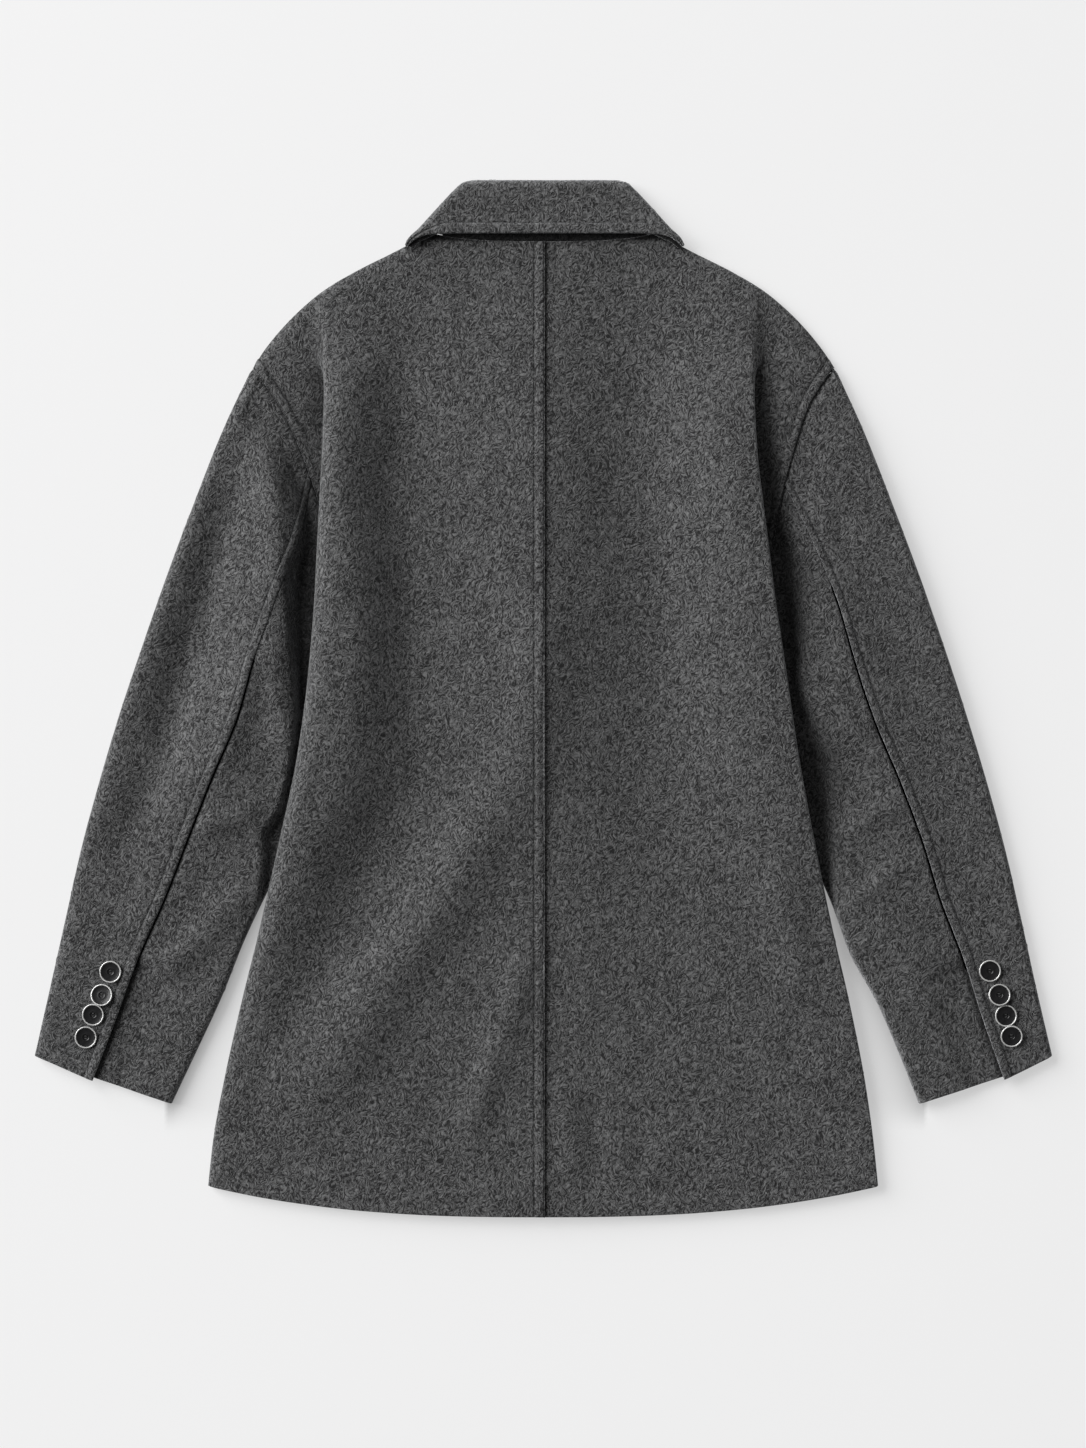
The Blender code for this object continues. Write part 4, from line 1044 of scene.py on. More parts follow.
def back_grid(side):
    """Outer points of one half of the back, and 1 for each row that ends on the armhole seam."""
    v = BACK_ROWS[:, None]
    _, edge_y = follow(side, v, lambda y: BODY[side].at("edge", y))
    edge, over, low, mid, under = edge_sizes(side, edge_y)
    armhole = ARMHOLE[side]
    underarm_y = armhole.place[0]
    end_x, end_y = follow(side, v, lambda y: armhole.at("x", y))
    crease_x = edge - low - CREASE_DEPTH[side]

    # Down the fold: the way that a sharp fold takes, and the way of a soft ridge with a dip.
    flat = np.hstack((
        np.broadcast_to(NEAR_SEAM, (len(v), len(NEAR_SEAM))),
        BAND_START + BACK_SPREAD * (edge - over - BAND_START),
    ))
    turn = math.pi * smooth((end_y - underarm_y + CREASE_OPENS) / CREASE_OPENS)
    turn = np.maximum(turn, 1e-3)
    arc = math.pi * CREASE_RADIUS
    bend = turn * CREASE_SPREAD
    tail = np.where(end_y > underarm_y, np.maximum(end_x - crease_x, CREASE_TAIL), CREASE_TAIL)
    kept = np.clip(tail - BAND_START, 0.3 * tail, None)
    strip = np.hstack((kept * STRIP_START, kept + (tail - kept) * STRIP_END))
    bent_x = crease_x - arc / turn * np.sin(bend)
    bent_z = under - arc / turn * (1 - np.cos(bend))
    run_x = edge - low - CREASE_DEPTH[side] * CREASE_RUN
    hard_x = np.hstack((
        flat,
        edge - over + over * np.cos(ROUND_OVER),
        edge,
        edge - low + low * np.cos(ROUND_UNDER),
        run_x,
        bent_x,
        bent_x[:, -1:] - strip * np.cos(turn),
    ))
    columns = flat.shape[1]
    turning = len(soft_shares())
    hard_z = np.hstack((
        back_height(side, flat, row_y(side, v, flat)),
        np.zeros((len(v), len(ROUND_OVER))),
        mid,
        mid + (mid - under) * np.sin(ROUND_UNDER),
        under + 0 * run_x,
        bent_z,
        bent_z[:, -1:] - strip * np.sin(turn),
    ))
    rounds = slice(columns, columns + len(ROUND_OVER))
    top = back_height(side, hard_x[:, rounds], row_y(side, v, hard_x[:, rounds]))
    hard_z[:, rounds] = mid + (top - mid) * np.sin(ROUND_OVER)

    shares = soft_shares()
    ridge_x = edge - over + over * np.minimum(shares, 1.0) + 4.5 * np.maximum(shares - 1.0, 0)
    soft_end = np.maximum(end_x, ridge_x[:, -1:] + CREASE_TAIL)
    ridge_end = ridge_x[:, -1:]
    soft_x = np.hstack((flat, ridge_x, ridge_end + (soft_end - ridge_end) * strip / tail))
    soft_y = row_y(side, v, soft_x)
    down = smooth((soft_x - edge + 4) / 15)
    soft_z = back_height(side, np.minimum(soft_x, edge - 3), soft_y)
    soft_z = soft_z + (BODY[side].at("dip", soft_y) - soft_z) * down

    hard = smooth((FOLD_STARTS_Y - edge_y) / (FOLD_STARTS_Y - FOLD_FULL_Y))
    x = soft_x + (hard_x - soft_x) * hard
    y = row_y(side, v, x)
    z = soft_z + (hard_z - soft_z) * hard

    # Above the underarm the strip outside the fold rises to meet the sleeve at the armhole seam.
    on_armhole = (end_y > underarm_y).astype(float)
    out = np.hstack((np.zeros((len(v), columns + turning)), strip / tail))
    target = grid(end_x, end_y, armhole.at("height", end_y))
    points = grid(x, y, z)
    points += (target - points[:, -1:]) * (smooth(out) * on_armhole)[..., None]
    points[..., 2] = shoulder_round(points[..., 0], points[..., 1], points[..., 2])
    points[:, -1] += (target[:, 0] - points[:, -1]) * on_armhole
    points[..., 0] = side * points[..., 0]
    points[:, 0, 0] = CENTRE_X
    return points, on_armhole


def front_edge(side, y):
    """Distance of a front's free edge from the middle: across it, then up beside the neck."""
    neck = smooth((y - BREAK_Y) / (NECK_Y - BREAK_Y))
    wrapped = 2 * side * CENTRE_X - WRAP
    return wrapped + (NECK_X + 4 - wrapped) * neck


def front_grid(side):
    """Outer points of one front, which faces the table, from its side seam to its wrapped edge."""
    v = FRONT_ROWS[:, None]
    armhole = ARMHOLE[side]
    underarm_y = armhole.place[0]
    arm_x, arm_y = follow(side, v, lambda y: armhole.at("x", y))
    _, edge_y = follow(side, v, lambda y: BODY[side].at("edge", y))
    seam_x = side_seam(side, edge_y)
    below = smooth((underarm_y - arm_y) / CREASE_OPENS)
    outer = np.where(arm_y > underarm_y, arm_x, arm_x + (seam_x - arm_x) * below)
    near = smooth((arm_y - underarm_y + 34) / 8) * smooth((underarm_y + 9 - arm_y) / 8)
    outer = outer - UNDERARM_NOTCH * near
    inner, _ = follow(side, v, lambda y: front_edge(side, y))
    step, _ = follow(side, v, lambda y: -front_edge(-side, y - WRAP_EARLY))
    step = np.clip(step, inner + 1, outer - 0.35 * (outer - inner))
    ramp_from = step + WRAP_CLEAR + WRAP_STEP
    x = np.hstack((
        outer + (ramp_from - outer) * np.linspace(0, 1, 34),
        ramp_from - WRAP_STEP * np.array((0.25, 0.5, 0.75)),
        ramp_from - WRAP_STEP + (inner - ramp_from + WRAP_STEP) * np.linspace(0, 1, 22),
    ))
    y = row_y(side, v, np.abs(x))
    return grid(x * side, y, front_height(side, x, y))


def side_seam(side, y):
    """Distance of the side seam from the middle, under the body's edge."""
    edge, _, low, _, _ = edge_sizes(side, y)
    return edge - low - CREASE_DEPTH[side] - math.pi * CREASE_RADIUS - CREASE_TAIL


def sleeve_inner(side, y):
    """Distance of the sleeve's inner edge from the middle at Y."""
    top, bottom = SLEEVE_INNER[side]
    return SLEEVE[side].at("inner", (y - top) / (bottom - top))


def front_height(side, x, y):
    """Height of the front's lower side: on the table, and over the sleeve's inner edge."""
    underarm_y = ARMHOLE[side].place[0]
    start = np.minimum(sleeve_inner(side, y) - 2, side_seam(side, y))
    over_sleeve = smooth((x - start + 18) / 18) * smooth((underarm_y + 4 - y) / CREASE_OPENS)
    height = BODY[side].at("under", y) * over_sleeve
    below = np.clip((SHOULDER.at("y", np.abs(x)) - y) * 0.8, 0, None)
    lift = 1 - np.sqrt(1 - (1 - np.clip(below / 4.0, 0, 1)) ** 2)
    lift = lift * smooth((TIP_X + 1 - x) / 16)
    height = height + FRONT_SHOULDER_MID * lift * smooth((x - NECK_X) / 10)
    if side == LEFT:
        other_edge = -front_edge(RIGHT, y - WRAP_EARLY)
        height = height + PLY * smooth((other_edge + WRAP_CLEAR + WRAP_STEP - x) / WRAP_STEP)
    return height


# ------------------------------------------------------------------------------------- the sleeves


def sleeve_lines(side, v):
    """The outer edge, back seam and inner edge at v, as points on the table."""
    sleeve = SLEEVE[side]
    lines = []
    for name, (top, bottom) in (
        ("outer", SLEEVE_TOP),
        ("seam", SLEEVE_SEAM[side]),
        ("inner", SLEEVE_INNER[side]),
    ):
        lines.append(np.stack((sleeve.at(name, v), top + (bottom - top) * v), axis=-1))
    return lines


def armhole_bow(side, y):
    """How far the armhole seam lies outside the straight line between two of its corners."""
    armhole = ARMHOLE[side]
    corners_y = (TIP_Y, SLEEVE_SEAM[side][0], SLEEVE_INNER[side][0])
    corners_x = [float(SLEEVE[side].at(name, 0.0)) for name in ("outer", "seam", "inner")]
    straight = np.interp(y, corners_y[::-1], corners_x[::-1])
    return armhole.at("x", y) - straight


def sleeve_height(side, v, x, y, share):
    """Height of the sleeve's upper side. share runs 0 to 1 to the seam and 1 to 2 inside it."""
    sleeve = SLEEVE[side]
    roll, hollow = sleeve.at("roll", v), sleeve.at("hollow", v)
    ridge, slope = sleeve.at("ridge", v), sleeve.at("slope", v)
    outer = np.where(
        share < 0.5,
        roll + (hollow - roll) * smooth(share * 2),
        hollow + (ridge - hollow) * smooth(share * 2 - 1),
    )
    inner = ridge + (slope - ridge) * smooth((share - 1) / 0.6)
    height = np.where(share < 1, outer, inner) + folds_at(SLEEVE_FOLDS, side * x, y)
    wide = HOLLOW[side].at("reach", y)
    free = smooth((x - BODY[side].at("edge", y) - 0.3 * wide) / (0.45 * wide + 3))
    free = np.maximum(free, smooth((-148 - y) / 45))
    return SLEEVE_FLAT + (height - SLEEVE_FLAT) * free, free


def sleeve_grid(side, under):
    """Outer points of the upper sleeve, or of the under sleeve, and its thickness."""
    v = SLEEVE_ROWS[:, None]
    outer, seam, inner = sleeve_lines(side, v)
    far = inner if under else outer
    far_share = 2.0 if under else 0.0
    other = outer if under else inner
    width = np.linalg.norm(seam - far, axis=2)
    edge_height, free = sleeve_height(side, v, far[..., 0], far[..., 1], far_share)
    edge_height = np.maximum(edge_height, SLEEVE_FLAT)
    over = EDGE_ROUND[side][under] * (0.3 + 0.7 * free if under else 1 + 0 * free)
    over = np.minimum(over, 0.4 * width)
    low = np.minimum(edge_height / 2, 4.5)
    near = NEAR_SEAM[:6] if under else NEAR_SEAM
    spread = np.linspace(0, 1, 30 if under else 36)[1:]
    flat = np.hstack((near + 0 * width, near[-1] + spread * (width - over - near[-1])))
    span = np.hstack((flat, width - over + over * np.cos(ROUND_OVER), width,
                      width - low + low * np.cos(ROUND_UNDER)))
    whole = np.linalg.norm(outer - inner, axis=2)
    bottom_end = whole * (FRONT_SEAM_SHARE if under else 1 - FRONT_SEAM_SHARE)
    bottom_shares = np.linspace(0, 1, 9 if under else 17)[1:]
    bottom = low + bottom_shares * (bottom_end - low)

    # On the upper side the points run from the seam to the edge, below they run back.
    lap = VENT_LAP * smooth((v - VENT_FROM - 0.025) / 0.03) if under else 0 * v
    share_out = (span + lap * np.minimum(span / width - 1, 0)) / width
    plan = seam[:, :1] + (far - seam) * share_out[..., None]
    if not under:
        hang = VENT_HANG * smooth(1 - span / 55) * smooth((v - 0.85) / 0.15)
        down = np.gradient(seam, axis=0)
        down /= np.linalg.norm(down, axis=2, keepdims=True)
        plan = plan + down * hang[..., None]
    plan_below = far + (other - far) * (bottom / whole)[..., None]
    plan = np.concatenate((plan, plan_below), axis=1)
    fade = smooth(1 - v / 0.3)
    plan[..., 0] += armhole_bow(side, plan[:1, :, 1]) * fade
    share = 1 + (1 if under else -1) * share_out
    above = plan[:, : span.shape[1]]
    top, _ = sleeve_height(side, v, above[..., 0], above[..., 1], share)
    if under:
        top = top - VENT_DROP * smooth((v - VENT_FROM) / 0.025) * smooth((45 - span) / 20)
    mid = edge_height / 2
    round_from = flat.shape[1]
    angle = np.concatenate((np.full(round_from, math.pi / 2), ROUND_OVER, (0.0,), ROUND_UNDER))
    z = mid + np.where(angle > 0, (top - mid) * np.sin(angle), mid * np.sin(angle))
    z = np.hstack((z, np.zeros(bottom.shape)))

    # The first rows settle on the armhole seam.
    target = ARMHOLE[side].at("height", plan[..., 1]) * (np.arange(z.shape[1]) < round_from)
    settle = smooth(1 - v / 0.09) * (np.arange(z.shape[1]) < round_from)
    z = z + (target - z) * settle
    if not under:
        rounds = slice(round_from, len(angle))
        z[:, rounds] *= 1 + (SHOULDER_MID / mid[0] - 1) * np.clip(1 - v / 0.02, 0, 1)
    wall = bpy.context.scene.coat_cloth.thickness / MM
    thick = np.full(z.shape, wall)
    turn = np.clip(TURN_SHARE * mid * mid / over, TURN_LEAST, wall)
    thick[:, round_from - 1 : len(angle)] = turn
    out = np.hstack((share_out * width, np.full(bottom.shape, width.max())))
    return grid(plan[..., 0] * side, plan[..., 1], z), thick, out


# -------------------------------------------------------------------------------------- the collar


def collar_lines(t):
    """The fall's free edge and the roll on both sides of the middle, and a column reader."""
    t = np.concatenate((-t[:0:-1], t))
    side = np.sign(t)
    edge_x = COLLAR.at("edge_x", np.abs(t))
    edge_y = fall_edge_y(edge_x)
    edge = np.stack((CENTRE_X + side * edge_x, edge_y), axis=-1)[None]
    roll_x = COLLAR.at("roll_x", np.abs(t))
    roll = np.stack((CENTRE_X + side * roll_x, COLLAR.at("roll_y", np.abs(t))), axis=-1)[None]
    return edge, roll, lambda name: COLLAR.at(name, np.abs(t))[None]


def collar_run(read, down):
    """Lower side of the collar under its roll, at a share of the way down to the neck seam."""
    return read("base") + (read("base_end") - read("base")) * down


def fall_lift(read, along):
    """1 along the fall's free edge, and 0 further in and at the collar's ends."""
    return smooth(1 - along / 16) * smooth((14.6 - read("top")) / 0.9)


def collar_upper_grid():
    """The collar's outside, round the roll and down inside the neck."""
    edge, roll, read = collar_lines(COLLAR_SPREAD)
    width = np.linalg.norm(roll - edge, axis=2)
    over = np.minimum(COLLAR_ROUND, 0.45 * width)
    low = np.minimum(COLLAR_ROUND_BELOW, 0.6 * over)
    start = np.minimum(COLLAR_BAND, 0.3 * width)
    step = np.minimum(BAND_STEP, 0.08 * width)
    near = (NEAR_SEAM[: STITCH_COLUMN + 1] / BAND_WIDTH)[:, None]
    spread = np.linspace(0, 1, 13)[1:, None]
    along = np.vstack((
        near * start,
        start + 0.5 * step,
        start + step,
        start + step + spread * (width - over - start - step),
        width - over + over * np.cos(ROUND_OVER)[:, None],
        width,
        width - low + low * np.cos(ROUND_UNDER)[:, None],
    ))
    mid = read("base") + COLLAR_MID * (read("top") - read("base"))
    level = len(near) + 2 + len(spread)
    rise = np.concatenate((np.ones(level), np.sin(ROUND_OVER), (0,), np.sin(ROUND_UNDER)))[:, None]
    z = mid + np.where(rise > 0, read("top") - mid, mid - read("base")) * rise
    z = z + FALL_LIFT * fall_lift(read, along) * (rise > 0.99)
    plan = edge + (roll - edge) * (along / width)[..., None]
    shelf = smooth((start + step - along) / step) * (rise > 0.99)
    dip = stitch_dip(along, 1.0, start) * (rise > 0.99)

    down = np.linspace(0, 1, 11)[1:, None]
    from_x = plan[-1, :, 0]
    from_y = plan[-1, :, 1]
    seam_y = SHOULDER.at("y", np.abs(from_x - CENTRE_X)) + 2 * SEAM_GAP
    end_y = np.maximum(seam_y, from_y - read("tuck"))
    end_y = np.minimum(end_y, from_y - 1)
    run = grid(from_x[None], from_y + (end_y - from_y) * down, collar_run(read, down))
    points = np.concatenate((np.dstack((plan, z)), run))
    none = np.zeros(run.shape[:2])
    return points, np.vstack((shelf, none)), np.vstack((dip, none))


def collar_ends(points):
    """1 at the collar's two ends, 0 along the rest."""
    return smooth((np.abs(points[..., 0] - CENTRE_X) - 84) / 16)


def collar_under_grid():
    """The collar's lining under the fall, one thickness below it."""
    edge, roll, read = collar_lines(COLLAR_SPREAD[COLLAR_SPREAD <= UNDER_END])
    width = np.linalg.norm(roll - edge, axis=2)
    share = np.linspace(0, 1, 14)[:, None]
    inset = UNDER_INSET - UNDER_PEEK * collar_ends(edge)
    along = inset + share * (np.maximum(width - COLLAR_ROUND - 1, 0.5 * width) - inset)
    plan = edge + (roll - edge) * (along / width)[..., None]
    return np.dstack((plan, read("top") - PLY + FALL_LIFT * fall_lift(read, along)))


def collar_stand_grid():
    """The outside of the stand, from the neck seam up into the roll."""
    edge, roll, read = collar_lines(COLLAR_SPREAD[COLLAR_SPREAD <= STAND_END])
    up = np.linspace(0, 1, 16)[:, None]
    x = edge[..., 0]
    seam_y = SHOULDER.at("y", np.abs(x - CENTRE_X)) - SEAM_LAP
    top_y = roll[..., 1] - STAND_INSET
    z = collar_run(read, 1 - up) + 2 * PLY - STAND_SINK * smooth(1 - 6 * up)
    return grid(x, seam_y + (top_y - seam_y) * up, z)


# ----------------------------------------------------------------------------- threads and fibres


def tubes(name, lines, radius, sides, material):
    """One piece of many thin tubes with pointed ends, each along its own line of points."""
    count, steps = lines.shape[:2]
    along = np.gradient(lines, axis=1)
    along /= np.maximum(np.linalg.norm(along, axis=2, keepdims=True), 1e-9)
    beside = np.cross(along, np.array((0.05, 0.02, 1.0)))
    beside /= np.linalg.norm(beside, axis=2, keepdims=True)
    over = np.cross(beside, along)
    taper = np.sqrt(np.clip(1 - np.abs(np.linspace(-1, 1, steps)) ** 4, 0.03, 1))
    size = (np.reshape(radius, (-1, 1)) * taper)[..., None, None]
    angle = np.arange(sides) * 2 * math.pi / sides
    ring = beside[:, :, None] * np.cos(angle)[:, None]
    ring = ring + over[:, :, None] * np.sin(angle)[:, None]
    index = np.arange(count * steps * sides).reshape(count, steps, sides)
    around = np.roll(index, -1, axis=2)
    faces = np.stack((index[:, :-1], around[:, :-1], around[:, 1:], index[:, 1:]), axis=-1)
    faces = faces.reshape(-1, 4).tolist()
    faces += index[:, 0, ::-1].tolist() + index[:, -1].tolist()
    mesh = new_mesh(name, lines[:, :, None] + ring * size, faces, material)
    mesh.shade_smooth()
    return new_piece(name, mesh)


def stitch_lines(path, normal, cloth):
    """Short lines of thread along a path on the cloth, a little proud of it."""
    run = np.concatenate(((0,), np.cumsum(np.linalg.norm(np.diff(path, axis=0), axis=1))))
    pitch = (cloth.stitch_length + cloth.stitch_gap) / MM
    starts = np.arange(1.0, run[-1] - pitch, pitch)
    shares = np.linspace(0, 1, 5)
    places = starts[:, None] + shares * cloth.stitch_length / MM

    def read(values):
        return np.stack([np.interp(places, run, values[:, i]) for i in range(3)], axis=-1)

    bow = (np.sin(shares * math.pi) * 0.6 - 0.25) * cloth.thread_radius / MM
    return read(path) + read(normal) * bow[:, None]


def fibre_lines(points, normal, shade, count, spread):
    """Curved lines of loose fibres that lie on a grid of cloth."""
    rows, columns = points.shape[:2]
    row = spread.uniform(6, rows - 7, count * 6)
    column = spread.uniform(4, columns - 5, count * 6)
    i, j = row.astype(int), column.astype(int)
    sides = np.cross(points[i + 1, j] - points[i, j], points[i, j + 1] - points[i, j])
    wanted = spread.uniform(0, FIBRE_CELL, len(i)) < np.linalg.norm(sides, axis=1)
    wanted &= (normal[i, j, 2] > 0.4) & (shade[i, j] < FIBRE_DARK)
    row, column, i, j = (values[wanted][:count] for values in (row, column, i, j))
    heading = np.radians(spread.normal(58, 42, len(i)))
    length = spread.uniform(3.5, 11.0, len(i))
    bend = spread.normal(0, 0.16, len(i))
    lift = spread.uniform(0.05, 0.45, len(i))
    t = np.linspace(-0.5, 0.5, 5)
    turn = heading[:, None] + bend[:, None] * t * length[:, None]
    step = length[:, None] / (len(t) - 1)
    x = np.cumsum(np.cos(turn) * step, axis=1)
    y = np.cumsum(np.sin(turn) * step, axis=1)
    x, y = x - x.mean(axis=1, keepdims=True), y - y.mean(axis=1, keepdims=True)
    down = (points[i + 2, j] - points[i - 2, j]) / 4
    across = (points[i, j + 2] - points[i, j - 2]) / 4
    area = down[:, 0] * across[:, 1] - down[:, 1] * across[:, 0]
    area = np.where(np.abs(area) < 0.5, 0.5 * np.sign(area + 1e-9), area)[:, None]
    to_row = (x * across[:, 1:2] - y * across[:, 0:1]) / area
    to_column = (y * down[:, 0:1] - x * down[:, 1:2]) / area
    at_row = np.clip(row[:, None] + np.clip(to_row, -5, 5), 0, rows - 1.001)
    at_column = np.clip(column[:, None] + np.clip(to_column, -4, 4), 0, columns - 1.001)
    i, j = at_row.astype(int), at_column.astype(int)
    u, w = (at_row - i)[..., None], (at_column - j)[..., None]

    def read(values):
        near = values[i, j] * (1 - w) + values[i, j + 1] * w
        far = values[i + 1, j] * (1 - w) + values[i + 1, j + 1] * w
        return near * (1 - u) + far * u

    hump = (0.12 + lift[:, None] * np.cos(t * math.pi) ** 2)[..., None]
    return read(points) + read(normal) * hump


# ------------------------------------------------------------------------------------- the buttons


def button_sections():
    """Half sections of a button's black body and of its metal rim."""
    body = (
        (0, 1.25), (1.0, 1.24), (1.9, 1.26), (2.35, 1.36), (2.6, 1.62), (2.85, 1.74), (3.15, 1.70),
        (3.6, 1.62), (4.4, 1.66), (5.4, 1.76), (6.4, 1.92), (7.2, 2.14), (7.72, 2.3), (7.8, 1.9),
        (7.4, 0.9), (7.0, 0.3), (5.4, 0.0), (0, 0),
    )
    turn = np.radians(np.linspace(180, -60, 13))
    rim = [(8.4 + 0.58 * math.cos(a), 2.1 + 0.6 * math.sin(a)) for a in turn]
    rim += [(8.6, 0.95), (8.1, 0.62), (7.6, 0.6), (7.45, 1.2), (7.6, 1.9)]
    return body, rim


def lathe(body, section, material_index, closed):
    """Turns a half section about Z in a bmesh."""
    rings = []
    for radius, height in section:
        if radius == 0:
            rings.append([body.verts.new((0, 0, height * MM))])
        else:
            angles = [2 * math.pi * i / BUTTON_STEPS for i in range(BUTTON_STEPS)]
            rings.append([
                body.verts.new((radius * math.cos(a) * MM, radius * math.sin(a) * MM, height * MM))
                for a in angles
            ])
    pairs = list(zip(rings, rings[1:])) + ([(rings[-1], rings[0])] if closed else [])
    for near, far in pairs:
        for i in range(BUTTON_STEPS):
            k = (i + 1) % BUTTON_STEPS
            if len(near) == 1:
                face = (near[0], far[k], far[i])
            elif len(far) == 1:
                face = (near[i], near[k], far[0])
            else:
                face = (near[i], near[k], far[k], far[i])
            body.faces.new(face).material_index = material_index


def button_mesh(colours):
    """A dished button with four sewing holes and a metal rim."""
    black = finish_named("black horn", button_finish, colours)
    pale = finish_named("pale metal rim", rim_finish, colours)
    section, rim = button_sections()
    shell = bmesh.new()
    lathe(shell, section, 0, False)
    bmesh.ops.recalc_face_normals(shell, faces=shell.faces)
    mesh = bpy.data.meshes.new("button face")
    shell.to_mesh(mesh)
    shell.free()
    mesh.materials.append(black)
    mesh.materials.append(pale)
    plain = bpy.data.objects.new("button face", mesh)
    bpy.context.scene.collection.objects.link(plain)
    drill_mesh = bpy.data.meshes.new("button drill")
    drills = bmesh.new()
    out = BUTTON_HOLE_OUT
    for x, y in ((-out, -out), (-out, out), (out, -out), (out, out)):
        bmesh.ops.create_cone(drills, cap_ends=True, segments=20, radius1=BUTTON_HOLE * MM,
                              radius2=BUTTON_HOLE * MM, depth=6 * MM,
                              matrix=Matrix.Translation((x * MM, y * MM, 1.5 * MM)))
    drills.to_mesh(drill_mesh)
    drills.free()
    drill = bpy.data.objects.new("button drill", drill_mesh)
    bpy.context.scene.collection.objects.link(drill)
    cut = plain.modifiers.new("holes", "BOOLEAN")
    cut.object = drill
    cut.solver = "EXACT"
    depsgraph = bpy.context.evaluated_depsgraph_get()
    holed = bpy.data.meshes.new_from_object(plain.evaluated_get(depsgraph))
    for scratch in (plain, drill):
        bpy.data.objects.remove(scratch, do_unlink=True)
    whole = bmesh.new()
    whole.from_mesh(holed)
    before = len(whole.faces)
    lathe(whole, rim, 1, True)
    whole.faces.ensure_lookup_table()
    bmesh.ops.recalc_face_normals(whole, faces=whole.faces[before:])
    whole.to_mesh(holed)
    whole.free()
    holed.shade_smooth()
    holed.set_sharp_from_angle(angle=math.radians(38))
    holed.name = "cuff button"
    return holed


def button_places(side, sleeve):
    """Where each button of a sleeve sits, as matrices from the top of the vent down."""
    places = []
    rows = list(zip(*BUTTONS[side].columns.values()))
    for y, x, tilt in reversed(rows):
        above = Vector((x, y, ABOVE_ALL)) * MM
        _, ground, normal, _ = sleeve.ray_cast(above, Vector((0, 0, -1)))
        turn = Vector((0, 0, 1)).rotation_difference(normal).to_matrix().to_4x4()
        axis = Vector((math.cos(CUFF_TURN), side * math.sin(CUFF_TURN), 0))
        tilted = Matrix.Rotation(math.radians(tilt), 4, axis)
        raise_by = SEAM_GAP + BUTTON_FOOT * math.sin(math.radians(abs(tilt)))
        places.append(Matrix.Translation(ground + normal * raise_by * MM) @ turn @ tilted)
    return places


def button_threads(places):
    """The stitches that hold the buttons on, as lines in millimetres."""
    out = BUTTON_HOLE_OUT
    share = np.linspace(-1, 1, 7)
    lines = []
    for place in places:
        for y in (-out, out):
            for beside in (-0.16, 0.16):
                points = [Vector((s * out, y + beside, 1.22 + 0.34 * (1 - s * s))) for s in share]
                lines.append([[c / MM for c in place @ (point * MM)] for point in points])
    return np.array(lines)


# --------------------------------------------------------------------------------------- operators


class COAT_OT_stage(bpy.types.Operator):
    """Makes the floor, the lights and the camera"""

    bl_idname = "coat.stage"
    bl_label = "Stage"

    def execute(self, context):
        stage = context.scene.coat_stage
        points = grid(FLOOR_X[None], FLOOR_Y[:, None], FLOOR_LOW)
        index = np.arange(points.shape[0] * points.shape[1]).reshape(points.shape[:2])
        mesh = new_mesh("floor", points, quads(index).tolist(), floor_finish(stage))
        # Painted shadow on the floor between the body and the sleeves.
        paint_shade(mesh, floor_gap_shadow(points))
        floor = bpy.data.objects.new("floor", mesh)
        context.scene.collection.objects.link(floor)

        sky = bpy.data.worlds.new("soft room")
        sky.use_nodes = True
        self.light_room(sky.node_tree, stage)
        context.scene.world = sky

        light = bpy.data.lights.new("key light", "AREA")
        light.size = KEY_LIGHT["size"]
        light.energy = stage.key
        turn, up = (math.radians(KEY_LIGHT[name]) for name in ("azimuth", "elevation"))
        across, upward = math.cos(up), math.sin(up)
        lamp = bpy.data.objects.new("key light", light)
        lamp.location = Vector((math.cos(turn) * across, math.sin(turn) * across, upward))
        lamp.location = lamp.location * KEY_LIGHT["distance"]
        lamp.rotation_euler = lamp.location.to_track_quat("Z", "Y").to_euler()
        context.scene.collection.objects.link(lamp)

        lens = bpy.data.cameras.new("camera")
        lens.lens = stage.lens
        lens.sensor_width = SENSOR_WIDTH
        lens.clip_end = 100.0
        distance = stage.view_height * stage.lens / SENSOR_WIDTH
        camera = bpy.data.objects.new("camera", lens)
        camera.location = (CAMERA_X * MM, CAMERA_Y * MM, distance + FOCUS_Z * MM)
        context.scene.collection.objects.link(camera)
        context.scene.camera = camera
        context.scene.view_settings.view_transform = "Standard"
        return {"FINISHED"}

    @staticmethod
    def light_room(tree, stage):
        """An even, dim sky over pale walls that show only near the horizon."""
        place = tree.nodes.new("ShaderNodeTexCoord").outputs["Generated"]
        split = tree.nodes.new("ShaderNodeSeparateXYZ")
        tree.links.new(place, split.inputs["Vector"])
        height = Signal(split.outputs["Z"])
        near = height.between(WALL_TOP, WALL_FOOT)
        strength = stage.fill + (stage.walls - stage.fill) * near
        light = tree.nodes["Background"]
        light.inputs["Color"].default_value = (1.0, 1.0, 1.0, 1.0)
        strength.feed(light.inputs["Strength"])


